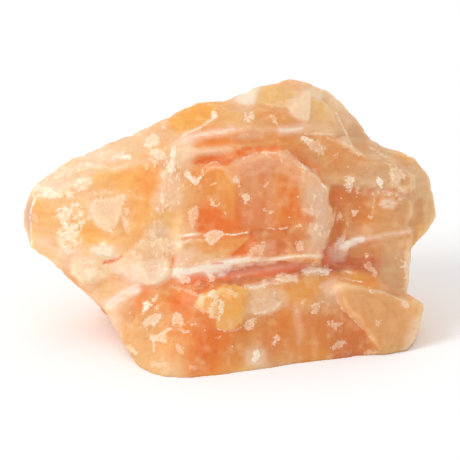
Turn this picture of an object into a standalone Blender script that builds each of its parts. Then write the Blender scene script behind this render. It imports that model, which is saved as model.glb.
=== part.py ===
"""A hand-sized rough chunk of orange calcite, broken from a banded bed, resting on its flattest side.

The stone is one piece. It is roughed out as overlapping convex lumps, stepped along the three
cleavage directions of calcite, trimmed to its outline, built up with the plates, ridges and
scarps of its front, worn a little, and cut off flat underneath.

The front is described the way it is looked at: u runs to the right, v runs up the view and w comes
towards the viewer, who looks down on the stone at VIEW_TILT. All three are in millimetres, v and w
counted from the front corner of the foot, which touches the table.
"""

import math

import bmesh
import bpy
import numpy as np
from mathutils import Vector, noise

MM = 0.001
NAME = "orange_calcite"
ROWS_AT_ONCE = 5000

# Driving dimensions, in millimetres, degrees and counts.
VIEW_TILT = math.radians(20.0)
FRONT_FOOT_W = 24.0
ROUGH_GRAIN = 0.8
FINE_GRAIN = 0.62
TRIANGLES = 9400
SEED = 1.7
EDGE_RUN = 1.6
EDGE_JITTER = 0.9
EDGE_JITTER_SIZE = 1.9
PLATE_ROOT = 12.0
CHAMFER_SLOPE = 0.7
BEYOND_THE_STONE = 60.0
FACET_SIZE = 5.5
FACET_BEND = 2.0
FACET_SHARPNESS = 0.75
DEEPEST_FACET = 0.5
FACET_TURN = 0.2
FACET_SEED = 5
SAME_FACING = 7.0
WEAR = 0.16
ON_THE_TABLE = 0.02

# The front is where the surface leans to the viewer: the cosines where it begins and is complete.
FRONT_BEGINS = 0.1
FRONT_COMPLETE = 0.38

# Calcite breaks along three directions, 75 degrees apart: one faces the front here, one is
# nearly the bedding, and one faces the right. Each is a normal in X, Y and Z.
CLEAVAGE = [
    Vector((-0.10, -0.93, 0.35)).normalized(),
    Vector((0.10, 0.10, 0.99)).normalized(),
    Vector((0.93, -0.35, 0.10)).normalized(),
]
# Where the steps along each direction lie, in millimetres along its normal.
STEP_GAPS = [5.5, 9.0, 4.2, 8.0, 11.5, 4.8, 6.2, 9.6, 5.0, 8.6, 4.4, 10.0, 6.0, 9.2, 5.2, 8.2]
WIDER_GAPS = [1.0, 1.15, 1.9]
STEP_START = -70.0
STEP_SHARPNESS = 0.85
STEPS_ON_FRONT = 0.14
DEEPEST_STEP = 2.8

# Noise on the front and in the steps, as (strength, size of its lumps) in millimetres.
STEP_BENDS = [(3.5, 20.0), (1.2, 8.0)]
LINE_BENDS = [(0.9, 3.4), (0.4, 1.4)]
RIDGE_BEND = 0.7
SCARP_WIDTH = 0.7
SCARP_END = 3.0
USUAL_HEIGHT = 0.7
UNEVEN_HEIGHT = (0.6, 6.0)
DENTS = [(0.6, 5.5), (0.4, 2.8)]
FACET_BEND_SIZE = 4.0

# The outline, clockwise from the tip of the left nose, as (u, v).
OUTLINE = [
    (-52.0, 40.0), (-51.7, 42.5), (-50.5, 45.0), (-49.7, 47.5), (-47.5, 50.0), (-45.0, 51.0),
    (-42.5, 53.2), (-39.2, 55.0), (-35.0, 56.2), (-30.5, 58.7), (-25.2, 60.2), (-22.5, 62.0),
    (-17.5, 64.2), (-12.5, 67.1), (-9.0, 68.7), (-2.5, 69.2), (1.0, 70.0), (5.0, 71.9),
    (8.0, 72.9), (10.0, 73.8), (15.0, 74.6), (20.4, 73.8), (24.1, 71.8), (27.9, 69.1),
    (30.0, 66.0), (33.0, 63.8), (35.2, 59.5), (38.0, 58.0), (42.8, 56.4), (46.1, 54.9),
    (50.1, 50.3), (50.9, 45.8), (52.1, 41.6), (51.9, 39.9), (49.9, 36.8), (46.4, 34.3),
    (45.0, 32.0), (44.5, 27.5), (45.0, 24.5), (44.5, 23.0), (43.2, 21.5), (48.0, 18.7),
    (48.5, 17.7), (47.2, 13.2), (46.0, 8.7), (44.5, 7.2), (44.0, 0.0), (10.0, -6.0),
    (-14.0, -6.0), (-19.0, -1.0), (-22.5, 3.2), (-24.7, 5.0), (-26.2, 7.7), (-27.5, 11.2),
    (-30.0, 15.2), (-32.5, 18.0), (-35.0, 20.2), (-37.5, 23.0), (-40.0, 24.5), (-43.0, 27.7),
    (-46.5, 31.0), (-49.5, 32.2), (-51.0, 35.2),
]

# Convex lumps of the front, each the hull of its corners (u, v, w).
LUMPS = {
    "nose": [
        (-49, 45, 1.5), (-48.5, 36, 2), (-36, 50, 4), (-34, 34, 8.5), (-20, 28, 12), (-18, 54, 7),
        (-53, 41, -3), (-51, 47.5, -4), (-47.5, 52, -5), (-35, 58.5, -7), (-20, 65.5, -8),
        (-10, 70, -8), (-52.5, 34, -3), (-45, 28, -4), (-33, 16, -4), (-26, 9, -2),
        (-45, 42, -14), (-38, 34, -16), (-25, 30, -24), (-15, 55, -22), (-10, 40, -26), (-5, 62, -20),
    ],
    "shoulder": [
        (-18, 52, 8), (10, 55, 8), (25, 55, 4), (-10, 60, 4), (5, 62, 3), (18, 64, 1), (27, 60, -1),
        (-20, 65, -7), (-9, 70, -7), (3, 71.5, -7), (-16, 28, 9), (25, 26, 1), (5, 26, 4),
        (-18, 55, -22), (0, 60, -24), (20, 62, -20), (25, 35, -28), (-10, 30, -30), (5, 45, -30),
    ],
    "crest": [
        (3, 69.5, -4), (7, 74, -7), (12, 76.5, -8), (19, 76, -9), (25.5, 73.5, -9), (31, 68, -8),
        (34.5, 63.5, -7), (36, 57, -4), (20, 60, 1.5), (28, 60, 0), (6, 63, 2), (18, 67, 0.5),
        (8, 68, -18), (20, 70, -20), (30, 60, -20), (15, 55, -26),
    ],
    "right end": [
        (25, 54, 3), (25, 28, 3), (40, 54, 1), (44, 48, 0), (44, 34, 0), (42, 24, -1), (30, 24, 3),
        (36, 61, -6), (44.5, 58, -7), (51, 52, -8), (53.5, 41.5, -9), (51, 35, -9), (46.5, 28, -7),
        (46.5, 22, -6), (43, 19, -4),
        (47, 48, -18), (45, 36, -20), (36, 52, -24), (30, 30, -28), (38, 22, -18), (20, 45, -30),
    ],
    "foot": [
        (-9.5, -3, 23.4), (-17, -3, 23.0), (44.5, 3.8, 5.0), (-16, 18, 16.2), (-6, 22, 17.4),
        (5, 23.5, 13.6), (25, 24, 7.0), (46, 20, 1.2), (-24.7, 3, 11), (-26.5, 7.7, 8), (-28, 11, 6),
        (-29, 17, 5), (-24, 22, 8), (-20.5, -1, 19.5), (49.3, 18.6, -1), (49.3, 17, -2), (48, 13, -1),
        (46.7, 8, 1), (46, 18, -12), (44, 10, -10), (0, 38, -26), (28, 36, -24), (-16, 36, -20),
        (20, 6, -24), (-5, 6, -26), (-18, 10, -14),
    ],
    "flank": [
        (-46.5, 31, 0), (-44, 26.5, -2), (-37, 20.5, -2), (-30.5, 12.5, -1), (-27.5, 7.5, 2),
        (-20, 22, 10), (-20, 34, 12), (-36, 34, 6), (-20, 20, -20), (-30, 30, -18), (-36, 28, -12),
        (-25, 14, -12),
    ],
}

# Convex lumps of the hidden side, each the hull of its corners (X, Y, Z) in millimetres.
BACK_LUMPS = {
    "body": [
        (-27, 47, -3), (-20, 22, -3), (0, 8, -3), (38, 18, -3), (42, 46, -3), (20, 56, -3),
        (-8, 55, -3), (-40, 42, 24), (-33, 52, 27), (-4, 62, 26), (28, 60, 24), (43, 48, 28),
        (47, 40, 34), (-20, 49, 45), (-2, 56, 47), (12, 58, 54), (24, 55, 50), (37, 50, 41),
        (-44, 36, 36),
    ],
    "spur": [
        (-12, 58, -3), (-24, 52, -3), (-26, 56, 16), (-6, 63.5, 12), (8, 64, 20), (2, 58, -3),
        (-14, 60, 32), (6, 62, 38), (0, 40, 20), (-20, 40, 10),
    ],
    "heel": [
        (44.5, 30, -3), (45, 44, -3), (30, 52, -3), (46, 44, 16), (34, 57, 14), (47, 30, 12),
        (20, 36, 10), (24, 30, -3),
    ],
}

# Plates that stand proud of the lumps: outline (u, v), then the level of the face at the middle of
# that outline, how it leans per millimetre to the right and up, and how wide its rim is chamfered.
PLATES = {
    "shield": (
        [(-13.5, 29), (-14.5, 33), (-13, 41), (-10.5, 47), (-8.7, 50), (-7.2, 51.5), (-6.2, 53),
         (-4.5, 54), (-2, 53.7), (-0.5, 53), (2, 55), (5, 55.7), (8, 56.7), (13.7, 57), (15.5, 55.7),
         (17.5, 54.2), (19, 52.5), (19.5, 47), (19.5, 41), (18.5, 34), (17.5, 29), (10, 29), (3.7, 28.5),
         (-1.2, 26.7), (-7.5, 24.5), (-11.2, 23.5), (-14.5, 25.7)],
        9.8, 0.0, -0.12, 0.5,
    ),
    "right strip of the shield": (
        [(17, 54), (20, 52), (22, 51.5), (23, 49.2), (24.5, 48.5), (25.7, 47), (24.5, 45.7),
         (24.7, 43.2), (26.5, 42.5), (25.7, 39), (25, 34.5), (24, 32), (23.5, 30.2), (22, 28.7),
         (17, 29), (18, 36), (19, 45)],
        9.0, -0.3, -0.10, 0.4,
    ),
    "floor of the undercut": (
        [(-9, 29.5), (0, 30.5), (20, 30.5), (23.5, 29), (23, 24.5), (20, 22.5), (5, 21), (-7, 22)],
        8.7, -0.12, 0.05, 0.3,
    ),
    "right face": (
        [(23, 49), (32.5, 48.5), (36.5, 48), (42.5, 47), (46, 44), (45.5, 36), (43, 34), (38, 32.5),
         (31, 31), (22, 31.5)],
        3.3, -0.17, 0.02, 0.3,
    ),
    "wedge under the shield": (
        [(-14, 35), (-5, 36.2), (5, 36.2), (2, 32.5), (-0.5, 29.8), (-4, 28.5), (-12, 27)],
        11.3, -0.08, 0.04, 0.3,
    ),
    "knob": (
        [(-39.8, 28.2), (-38.2, 30.5), (-35.2, 30), (-31, 28.2), (-30.5, 26.2), (-33, 24), (-37, 23.7),
         (-39.8, 26.2)],
        5.6, 0.26, -0.12, 0.5,
    ),
    "flap": (
        [(-30.7, 28.2), (-27.5, 30.5), (-24.2, 32.2), (-20, 34.7), (-15.5, 35), (-14.7, 31.5),
         (-15, 28.2), (-16.2, 26), (-19.5, 23), (-23, 24), (-29.5, 26.5)],
        8.9, 0.26, -0.10, 0.25,
    ),
    "upper flake of the flap": (
        [(-24.2, 31.5), (-20, 34), (-16.2, 34.3), (-15.5, 29), (-20, 27.2), (-22.5, 29)],
        10.1, 0.24, -0.02, 0.25,
    ),
    "root of the white band": (
        [(-20, 24), (-17, 28.5), (-12, 29), (-9, 25), (-12, 21.5), (-17, 21.5)],
        10.6, 0.1, -0.05, 0.3,
    ),
    "upper right plate": (
        [(18.5, 61.2), (27.5, 60.2), (30.5, 57.5), (34, 55.5), (41.2, 53.7), (45.5, 51.5), (46.2, 47),
         (42.5, 46.5), (36.5, 47.5), (32.5, 48), (25, 48), (23, 49.5), (21.2, 52.5), (17.5, 55),
         (15.5, 57.5)],
        3.8, -0.12, -0.30, 0.5,
    ),
    "lower right plate": (
        [(35.5, 29), (37.5, 33.2), (42.5, 35), (45.5, 34.5), (44.7, 29), (44.7, 23.2), (43.2, 21.5),
         (40, 22), (37.5, 25.2)],
        2.4, -0.2, 0.0, 0.5,
    ),
    "foot plate": (
        [(26.2, 23.2), (28.7, 23.7), (42.5, 20.5), (48, 18.7), (48.5, 17.7), (46, 8.7), (44.5, 7.2),
         (38.7, 6.7), (35.5, 9), (33, 12.5), (30.5, 15.5), (28, 17.5)],
        7.2, -0.36, -0.2, 0.6,
    ),
    "foot brow": (
        [(2.5, 22), (8, 23), (12, 25.7), (17.5, 26.5), (25, 25.7), (28.7, 23.5), (26.2, 19.5),
         (22.5, 19.5), (17.5, 19.5), (12.5, 19), (8, 18.2), (3.7, 17.5)],
        10.6, -0.33, -0.25, 0.6,
    ),
    "yellow lump": (
        [(-7.5, 19.5), (-6.2, 22), (-3, 23), (0.5, 22.7), (4, 21.5), (5, 18.2), (4, 15), (2, 12.5),
         (-1.2, 12), (-4, 14), (-6, 16), (-8, 18)],
        18.2, -0.3, -0.1, 0.9,
    ),
    "crest flap": (
        [(13.2, 71.2), (20, 70.5), (20, 64), (17, 65.5), (12.5, 67.5), (10, 69.5)],
        -1.4, -0.1, -0.6, 0.6,
    ),
    "crest face": (
        [(20.3, 70.5), (23.5, 69.5), (26, 66), (27.5, 62.5), (22, 62.5), (20.3, 64)],
        -1.0, -0.2, -0.5, 0.6,
    ),
}

# Ridges (raised) and grooves (sunk) along a line: points (u, v), half width, height.
RIDGES = {
    "long ridge under the crest": (
        [(-12, 60), (-7, 61.8), (-1, 62.5), (8, 63), (18, 62.6), (26, 61)], 2.4, 1.1),
    "lens-shaped groove": ([(-8, 58.6), (-2, 59), (4, 58.8), (8, 59)], 1.4, -1.1),
    "band above the shield": ([(-11, 56.6), (-5, 56.8), (1, 56.8), (8, 57.4), (13, 58.2)], 1.9, 0.7),
    "hollow above the shield": ([(-9.5, 53.6), (-5, 54.8), (0, 54.2), (5, 56)], 1.8, -1.6),
    "gully right of the shield": ([(23.5, 51), (26.6, 47), (27.2, 41), (26.8, 35), (23.5, 28.8)], 1.7, -0.9),
    "seam across the shield": ([(-12, 36.4), (-3, 36.6), (5, 36.9), (17.5, 38.4)], 0.9, -0.6),
    "white band under the shield": ([(-19, 24), (-14, 27.2), (-7, 29), (8, 29.6), (23, 31)], 1.2, 0.6),
    "undercut below the shield": ([(-8, 25), (-1, 26.4), (9, 27), (20, 27.6), (30, 27.8)], 1.8, -0.9),
    "crack above the flap": ([(-32, 28.3), (-27.5, 30.6), (-24, 34), (-20, 36.8)], 0.8, -0.8),
    "line over the left top": ([(-12, 60.7), (-8, 62.5), (-4.5, 65), (-1, 67)], 1.1, 0.6),
    "edge down from the crest": ([(25.7, 69.4), (28.7, 62), (30.5, 57.6), (34, 55.4), (41, 53.7)], 1.0, 0.6),
    "nose edge": ([(-49.4, 46), (-49.2, 39), (-48.6, 33.5)], 1.0, 0.7),
    "groove in the nose": ([(-49, 41.8), (-44, 41.6), (-41.5, 41.2)], 0.9, -0.5),
    "dent in the left side": ([(-38.5, 37), (-33, 35.5), (-27, 37)], 3.0, -0.8),
    "left foot gully": ([(-22, 21.5), (-15, 21), (-10, 18.5)], 1.8, -1.2),
    "hollow left of the scarp": ([(-26, 39), (-23.5, 45), (-21, 50)], 2.4, -0.7),
}

# Scarps: points (u, v), how much the ground on the right of that line stands higher, and how far
# to the right it takes to sink back.
SCARPS = {
    "scarp left of the shield": ([(-20, 41), (-18.6, 45), (-17.6, 49.5), (-15.8, 53)], 1.1, 9.0),
    "top left slab": (
        [(-49, 45.5), (-44, 45.2), (-40, 47), (-34, 48.5), (-29, 50.5), (-24, 54), (-20, 57)], -0.9, 8.0),
    "lower left slab": ([(-44, 30), (-41, 34.5), (-40, 41), (-36, 44.5)], 1.0, 12.0),
    "step under the nose": ([(-23, 27), (-30, 25), (-36, 22)], 1.2, 8.0),
    "foot flake": ([(-24, 16), (-20, 19), (-14, 20.5)], -0.8, 7.0),
    "break below the flap": ([(-23, 11), (-17, 13), (-12, 15.5)], 0.7, 6.0),
    "left break of the shield face": ([(-2, 38), (-1, 45), (-1.5, 52)], 0.4, 6.0),
    "right break of the shield face": ([(14, 40), (13.5, 47), (14.5, 54)], -0.5, 7.0),
    "right face break": ([(36.2, 47), (35.8, 42), (36, 38)], 0.6, 7.0),
    "rim of the right end": ([(45.8, 52), (45.6, 44), (45.4, 36)], -1.4, 5.0),
    "break over the shield": ([(16, 57.6), (10, 60.2), (4, 61)], 0.5, 5.0),
    "crest break": ([(8, 64.5), (14, 63.8), (22, 62.8)], -0.6, 6.0),
    "left face break": ([(-36, 49.5), (-34.5, 44), (-30, 41), (-26, 36)], 0.6, 8.0),
    "foot middle break": ([(5, 2.5), (9, 8), (10.5, 14), (14, 18)], 0.5, 8.0),
    "lower edge of the flap": ([(-14.7, 26.5), (-16.2, 25.2), (-19.5, 23), (-23.5, 24.2)], 1.0, 7.0),
    "brow of the shield": (
        [(-7.2, 51.8), (-4.5, 54.2), (-2, 54), (-0.5, 53.2), (2, 55.2), (8, 57), (13.7, 57.3),
         (17.5, 54.5)], 0.9, 6.0),
}


def seen(u, v, w):
    """The point in metres, X right, Y away from the viewer, Z up, for a place of the front view."""
    w = w - FRONT_FOOT_W
    y = v * math.sin(VIEW_TILT) - w * math.cos(VIEW_TILT)
    z = v * math.cos(VIEW_TILT) + w * math.sin(VIEW_TILT)
    return Vector((u, y, z)) * MM


TOWARDS_VIEWER = (seen(0, 0, 1) - seen(0, 0, 0)).normalized()
UP_THE_VIEW = (seen(0, 1, 0) - seen(0, 0, 0)).normalized()


def clear_scene():
    for old in list(bpy.data.objects):
        bpy.data.objects.remove(old)


def to_object(bm, name, collection):
    mesh = bpy.data.meshes.new(name)
    bmesh.ops.recalc_face_normals(bm, faces=bm.faces)
    bm.to_mesh(mesh)
    bm.free()
    made = bpy.data.objects.new(name, mesh)
    collection.objects.link(made)
    return made


def lump(bm, corners):
    """Adds the convex hull of the corners."""
    verts = [bm.verts.new(corner) for corner in corners]
    hull = bmesh.ops.convex_hull(bm, input=verts)
    loose = [v for v in hull["geom_interior"] if isinstance(v, bmesh.types.BMVert)]
    bmesh.ops.delete(bm, geom=loose, context="VERTS")


def slab(bm, near, far):
    """Adds the closed slab between two outlines of the same length, and returns its near face."""
    near = [bm.verts.new(point) for point in near]
    far = [bm.verts.new(point) for point in far]
    front = bm.faces.new(near)
    bm.faces.new(far[::-1])
    for i in range(len(near)):
        j = (i + 1) % len(near)
        bm.faces.new([far[i], far[j], near[j], near[i]])
    return front


def broken_edge(outline):
    """The outline with its straight runs broken up, as a flake's edge is."""
    broken = []
    for (u0, v0), (u1, v1) in zip(outline, outline[1:] + outline[:1]):
        count = max(1, round(math.hypot(u1 - u0, v1 - v0) / EDGE_RUN))
        for k in range(count):
            u = u0 + (u1 - u0) * k / count
            v = v0 + (v1 - v0) * k / count
            place = Vector((u, v, SEED)) / EDGE_JITTER_SIZE
            across = noise.noise(place)
            up = noise.noise(place + Vector((0, 0, SEED)))
            broken.append((u + EDGE_JITTER * across, v + EDGE_JITTER * up))
    return broken


def plate(bm, outline, level, lean_right, lean_up, chamfer):
    """Adds a slab that leaves the stone with a leaning face, the rim of that face chamfered."""
    root = level - PLATE_ROOT
    outline = broken_edge(outline)
    middle_u = sum(u for u, v in outline) / len(outline)
    middle_v = sum(v for u, v in outline) / len(outline)
    near, far = [], []
    for u, v in outline:
        w = level + lean_right * (u - middle_u) + lean_up * (v - middle_v) - CHAMFER_SLOPE * chamfer
        near.append(seen(u, v, w))
        far.append(seen(u, v, root))
    front = slab(bm, near, far)
    front.normal_update()
    if front.normal.dot(TOWARDS_VIEWER) < 0:
        front.normal_flip()
    bmesh.ops.inset_individual(
        bm, faces=[front], thickness=chamfer * MM, depth=CHAMFER_SLOPE * chamfer * MM)


def evaluated_mesh(obj):
    graph = bpy.context.evaluated_depsgraph_get()
    return bpy.data.meshes.new_from_object(obj.evaluated_get(graph))


def one_skin(obj, grain):
    """Joins the overlapping closed shells of the object into one skin of even faces."""
    remesh = obj.modifiers.new("one skin", "REMESH")
    remesh.mode = "VOXEL"
    remesh.voxel_size = grain * MM
    obj.data = evaluated_mesh(obj)
    obj.modifiers.clear()


def trim_to_outline(stone, collection):
    bm = bmesh.new()
    near = [seen(u, v, BEYOND_THE_STONE) for u, v in OUTLINE]
    far = [seen(u, v, -BEYOND_THE_STONE) for u, v in OUTLINE]
    slab(bm, near, far)
    prism = to_object(bm, "outline prism", collection)
    cut = stone.modifiers.new("trim to outline", "BOOLEAN")
    cut.operation = "INTERSECT"
    cut.object = prism
    stone.data = evaluated_mesh(stone)
    stone.modifiers.clear()
    bpy.data.objects.remove(prism)


def points_and_normals(mesh):
    """The vertices in millimetres and their normals."""
    points = np.empty(len(mesh.vertices) * 3)
    mesh.vertices.foreach_get("co", points)
    normals = np.empty(len(mesh.vertices) * 3, np.float32)
    mesh.vertex_normals.foreach_get("vector", normals)
    return points.reshape(-1, 3) / MM, normals.reshape(-1, 3).astype(float)


def put_points(mesh, points):
    mesh.vertices.foreach_set("co", (points * MM).ravel())
    mesh.update()


def wave(points, size, seed):
    """Smooth noise from -1 to 1 at each point, with lumps of about that size in millimetres."""
    shift = Vector((seed, -2 * seed, 3.1 * seed))
    return np.array([noise.noise(Vector(p) / size + shift) for p in points])


def waves(points, strengths_and_sizes, seed):
    """The sum of several waves."""
    total = np.zeros(len(points))
    for turn, (strength, size) in enumerate(strengths_and_sizes):
        total += strength * wave(points, size, (seed + turn) * SEED)
    return total


def front_share(normals):
    """1 where the surface faces the viewer, 0 where it is turned away, smooth between."""
    leaning = normals @ np.array(TOWARDS_VIEWER)
    return np.clip((leaning - FRONT_BEGINS) / (FRONT_COMPLETE - FRONT_BEGINS), 0, 1)


def cleavage_steps(mesh):
    """Snaps the surface part of the way to level steps across each cleavage direction."""
    points, normals = points_and_normals(mesh)
    bend = waves(points, STEP_BENDS, 1)
    strength = 1 - front_share(normals) * (1 - STEPS_ON_FRONT)
    moved = np.zeros_like(points)
    for turn, direction in enumerate(CLEAVAGE):
        direction = np.array(direction)
        gaps = np.array((STEP_GAPS[turn * 3:] + STEP_GAPS[: turn * 3]) * 2)
        edges = STEP_START + np.cumsum(gaps * WIDER_GAPS[turn])
        along = points @ direction + bend
        at = np.clip(np.searchsorted(edges, along), 1, len(edges) - 1)
        middle = (edges[at - 1] + edges[at]) / 2
        away = np.clip(along - middle, -DEEPEST_STEP, DEEPEST_STEP)
        facing = np.abs(normals @ direction) ** 2
        moved -= (STEP_SHARPNESS * strength * facing * away)[:, None] * direction
    put_points(mesh, points + moved)


def along_line(u, v, line):
    """For each place, the signed distance from the line (positive on its right) and past its ends."""
    best = np.full(len(u), np.inf)
    signed = np.zeros(len(u))
    past = np.zeros(len(u))
    for (u0, v0), (u1, v1) in zip(line[:-1], line[1:]):
        du, dv = u1 - u0, v1 - v0
        length = math.hypot(du, dv)
        t = ((u - u0) * du + (v - v0) * dv) / length
        side = ((u - u0) * dv - (v - v0) * du) / length
        over = np.maximum(np.maximum(-t, t - length), 0)
        distance = np.hypot(side, over)
        nearer = distance < best
        best = np.where(nearer, distance, best)
        signed = np.where(nearer, np.where(side < 0, -distance, distance), signed)
        past = np.where(nearer, over, past)
    return signed, past


def carve_front(mesh):
    """Raises the ridges and scarps of the front, and sinks its grooves."""
    points, normals = points_and_normals(mesh)
    u = points[:, 0]
    v = points @ np.array(UP_THE_VIEW)
    ragged = waves(points, LINE_BENDS, 3)
    uneven = USUAL_HEIGHT + waves(points, [UNEVEN_HEIGHT], 6)
    rise = np.zeros(len(points))
    for line, half_width, height in RIDGES.values():
        signed, _ = along_line(u, v, line)
        rise += height * uneven * np.clip(1 - np.abs(signed + RIDGE_BEND * ragged) / half_width, 0, 1)
    for line, height, reach in SCARPS.values():
        signed, past = along_line(u, v, line)
        signed = signed + ragged
        lift = np.clip(signed / SCARP_WIDTH, 0, 1) * np.clip(1 - signed / reach, 0, 1)
        rise += height * uneven * lift * np.clip(1 - past / SCARP_END, 0, 1)
    rise *= front_share(normals)
    put_points(mesh, points + rise[:, None] * np.array(TOWARDS_VIEWER))


def nearest_seed(values, seeds):
    """For each row of values, the number of the nearest row of seeds."""
    nearest = np.empty(len(values), int)
    size = (seeds ** 2).sum(axis=1)
    for start in range(0, len(values), ROWS_AT_ONCE):
        part = values[start:start + ROWS_AT_ONCE]
        nearest[start:start + ROWS_AT_ONCE] = np.argmin(size - 2 * part @ seeds.T, axis=1)
    return nearest


def facets(mesh):
    """Breaks the surface into small flat faces that lean towards the cleavage directions."""
    points, normals = points_and_normals(mesh)
    area = sum(face.area for face in mesh.polygons) / MM ** 2
    chance = np.random.default_rng(FACET_SEED)
    picks = chance.choice(len(points), round(area / FACET_SIZE ** 2), replace=False)
    bend = [wave(points, FACET_BEND_SIZE, turn * SEED) for turn in (8, 9, 10)]
    bent = points + FACET_BEND * np.column_stack(bend)
    values = np.hstack([bent, SAME_FACING * normals])
    facet = nearest_seed(values, values[picks])
    count = np.maximum(np.bincount(facet, minlength=len(picks)), 1)
    middle = np.column_stack([np.bincount(facet, points[:, k], len(picks)) for k in range(3)])
    middle /= count[:, None]
    facing = np.column_stack([np.bincount(facet, normals[:, k], len(picks)) for k in range(3)])
    facing /= np.linalg.norm(facing, axis=1)[:, None]
    directions = np.array(CLEAVAGE)
    alike = facing @ directions.T
    best = np.argmax(np.abs(alike), axis=1)
    turned_to = directions[best] * np.sign(alike[np.arange(len(best)), best])[:, None]
    facing += FACET_TURN * turned_to
    facing /= np.linalg.norm(facing, axis=1)[:, None]
    away = np.einsum("ij,ij->i", points - middle[facet], facing[facet])
    away = np.clip(away, -DEEPEST_FACET, DEEPEST_FACET)
    put_points(mesh, points - (FACET_SHARPNESS * away)[:, None] * facing[facet])


def wear(mesh):
    """Small dents and swellings all over, along the normals."""
    points, normals = points_and_normals(mesh)
    dents = WEAR * waves(points, DENTS, 12)
    put_points(mesh, points + dents[:, None] * normals)


def cut_flat_underneath(mesh):
    """Cuts the stone off at the level of the table and closes it with one flat face."""
    bm = bmesh.new()
    bm.from_mesh(mesh)
    cut = bmesh.ops.bisect_plane(
        bm, geom=bm.verts[:] + bm.edges[:] + bm.faces[:], dist=1e-6,
        plane_co=(0, 0, 0), plane_no=(0, 0, -1), clear_outer=True)
    rim = [e for e in cut["geom_cut"] if isinstance(e, bmesh.types.BMEdge)]
    bmesh.ops.edgenet_fill(bm, edges=rim)
    bmesh.ops.triangulate(bm, faces=bm.faces)
    bm.to_mesh(mesh)
    bm.free()


def fewer_faces(stone):
    decimate = stone.modifiers.new("fewer faces", "DECIMATE")
    decimate.ratio = TRIANGLES / len(stone.data.polygons)
    stone.data = evaluated_mesh(stone)
    stone.modifiers.clear()


def settle(mesh):
    """Puts the middle of the footprint at the origin and the flat underside at Z = 0."""
    points, _ = points_and_normals(mesh)
    points[points[:, 2] < ON_THE_TABLE, 2] = 0.0
    middle = (points.min(axis=0) + points.max(axis=0)) / 2
    put_points(mesh, points - np.array([middle[0], middle[1], 0.0]))
    return middle


def calcite():
    material = bpy.data.materials.new("orange calcite")
    material.use_nodes = True
    shader = material.node_tree.nodes["Principled BSDF"]
    shader.inputs["Base Color"].default_value = (0.86, 0.40, 0.16, 1)
    shader.inputs["Roughness"].default_value = 0.45
    return material


def main():
    clear_scene()
    part = bpy.data.collections.new(NAME)
    bpy.context.scene.collection.children.link(part)

    bm = bmesh.new()
    for corners in LUMPS.values():
        lump(bm, [seen(*corner) for corner in corners])
    for corners in BACK_LUMPS.values():
        lump(bm, [Vector(corner) * MM for corner in corners])
    stone = to_object(bm, NAME, part)
    one_skin(stone, ROUGH_GRAIN)
    cleavage_steps(stone.data)
    one_skin(stone, ROUGH_GRAIN)
    trim_to_outline(stone, part)

    bm = bmesh.new()
    bm.from_mesh(stone.data)
    for outline, level, lean_right, lean_up, chamfer in PLATES.values():
        plate(bm, outline, level, lean_right, lean_up, chamfer)
    bmesh.ops.recalc_face_normals(bm, faces=bm.faces)
    bm.to_mesh(stone.data)
    bm.free()
    one_skin(stone, FINE_GRAIN)
    facets(stone.data)
    carve_front(stone.data)
    wear(stone.data)
    one_skin(stone, FINE_GRAIN)

    cut_flat_underneath(stone.data)
    fewer_faces(stone)
    middle = settle(stone.data)
    stone.data.materials.append(calcite())
    print("moved by, in millimetres:", *(-middle[:2]).round(3))


main()
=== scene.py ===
# %% [markdown]
# Orange calcite is a soft, waxy mineral that breaks along three slanting directions, so a rough
# chunk is all small steps and ledges. Light soaks some millimetres into it: thin edges glow
# yellow, hollows glow red, and every place that was struck turns frosty white. The scene starts
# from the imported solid, which has the right size and the main forms, and adds the fine skin.

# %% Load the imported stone
import math

import bmesh
import bpy
import numpy as np
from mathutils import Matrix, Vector, noise
from mathutils.bvhtree import BVHTree


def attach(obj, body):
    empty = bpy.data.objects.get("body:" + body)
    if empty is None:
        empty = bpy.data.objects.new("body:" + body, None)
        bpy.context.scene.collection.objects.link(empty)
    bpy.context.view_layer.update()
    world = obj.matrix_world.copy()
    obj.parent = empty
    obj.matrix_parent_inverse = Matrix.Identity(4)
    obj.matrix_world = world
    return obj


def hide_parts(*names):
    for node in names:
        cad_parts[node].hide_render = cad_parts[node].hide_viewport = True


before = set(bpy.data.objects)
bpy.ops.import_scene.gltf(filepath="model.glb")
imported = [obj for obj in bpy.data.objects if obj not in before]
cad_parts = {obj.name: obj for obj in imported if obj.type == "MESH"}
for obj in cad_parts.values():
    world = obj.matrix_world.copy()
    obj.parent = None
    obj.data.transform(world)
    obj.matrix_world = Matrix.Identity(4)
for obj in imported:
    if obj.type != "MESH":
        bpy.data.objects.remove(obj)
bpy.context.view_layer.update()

MM = 0.001
rough_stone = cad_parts["orange_calcite"]
print("rough stone:", len(rough_stone.data.polygons), "faces")

# %% [markdown]
# The camera comes first, because the marks on the front are placed by where they are seen. It is
# a long lens from far away, a little above the stone, as for a product picture: a long lens keeps
# the stone's far side almost as large as its near side.

# %% Camera
PICTURE = 460
PIXELS_PER_MM = 4.0
CAMERA_DISTANCE = 1500 * MM
VIEW_TILT = math.radians(20)
MIDDLE_OF_VIEW = Vector((-0.09, 0.90, 26.56)) * MM
SENSOR = 36
FARTHEST = 20

to_camera = Vector((0, -math.cos(VIEW_TILT), math.sin(VIEW_TILT)))
up_the_view = Vector((0, math.sin(VIEW_TILT), math.cos(VIEW_TILT)))

camera = bpy.data.objects.new("camera", bpy.data.cameras.new("camera"))
bpy.context.scene.collection.objects.link(camera)
bpy.context.scene.camera = camera
camera.data.sensor_width = SENSOR
camera.data.lens = SENSOR * CAMERA_DISTANCE / (PICTURE / PIXELS_PER_MM * MM)
camera.data.clip_end = FARTHEST
camera.location = MIDDLE_OF_VIEW + to_camera * CAMERA_DISTANCE
camera.rotation_euler = (math.radians(90) - VIEW_TILT, 0, 0)
print("lens:", round(camera.data.lens), "mm")

# %% [markdown]
# A mesh keeps its points in one long list. Read into one array, all of them are measured or moved
# at once, which is many times faster than a loop over the points.

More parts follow.
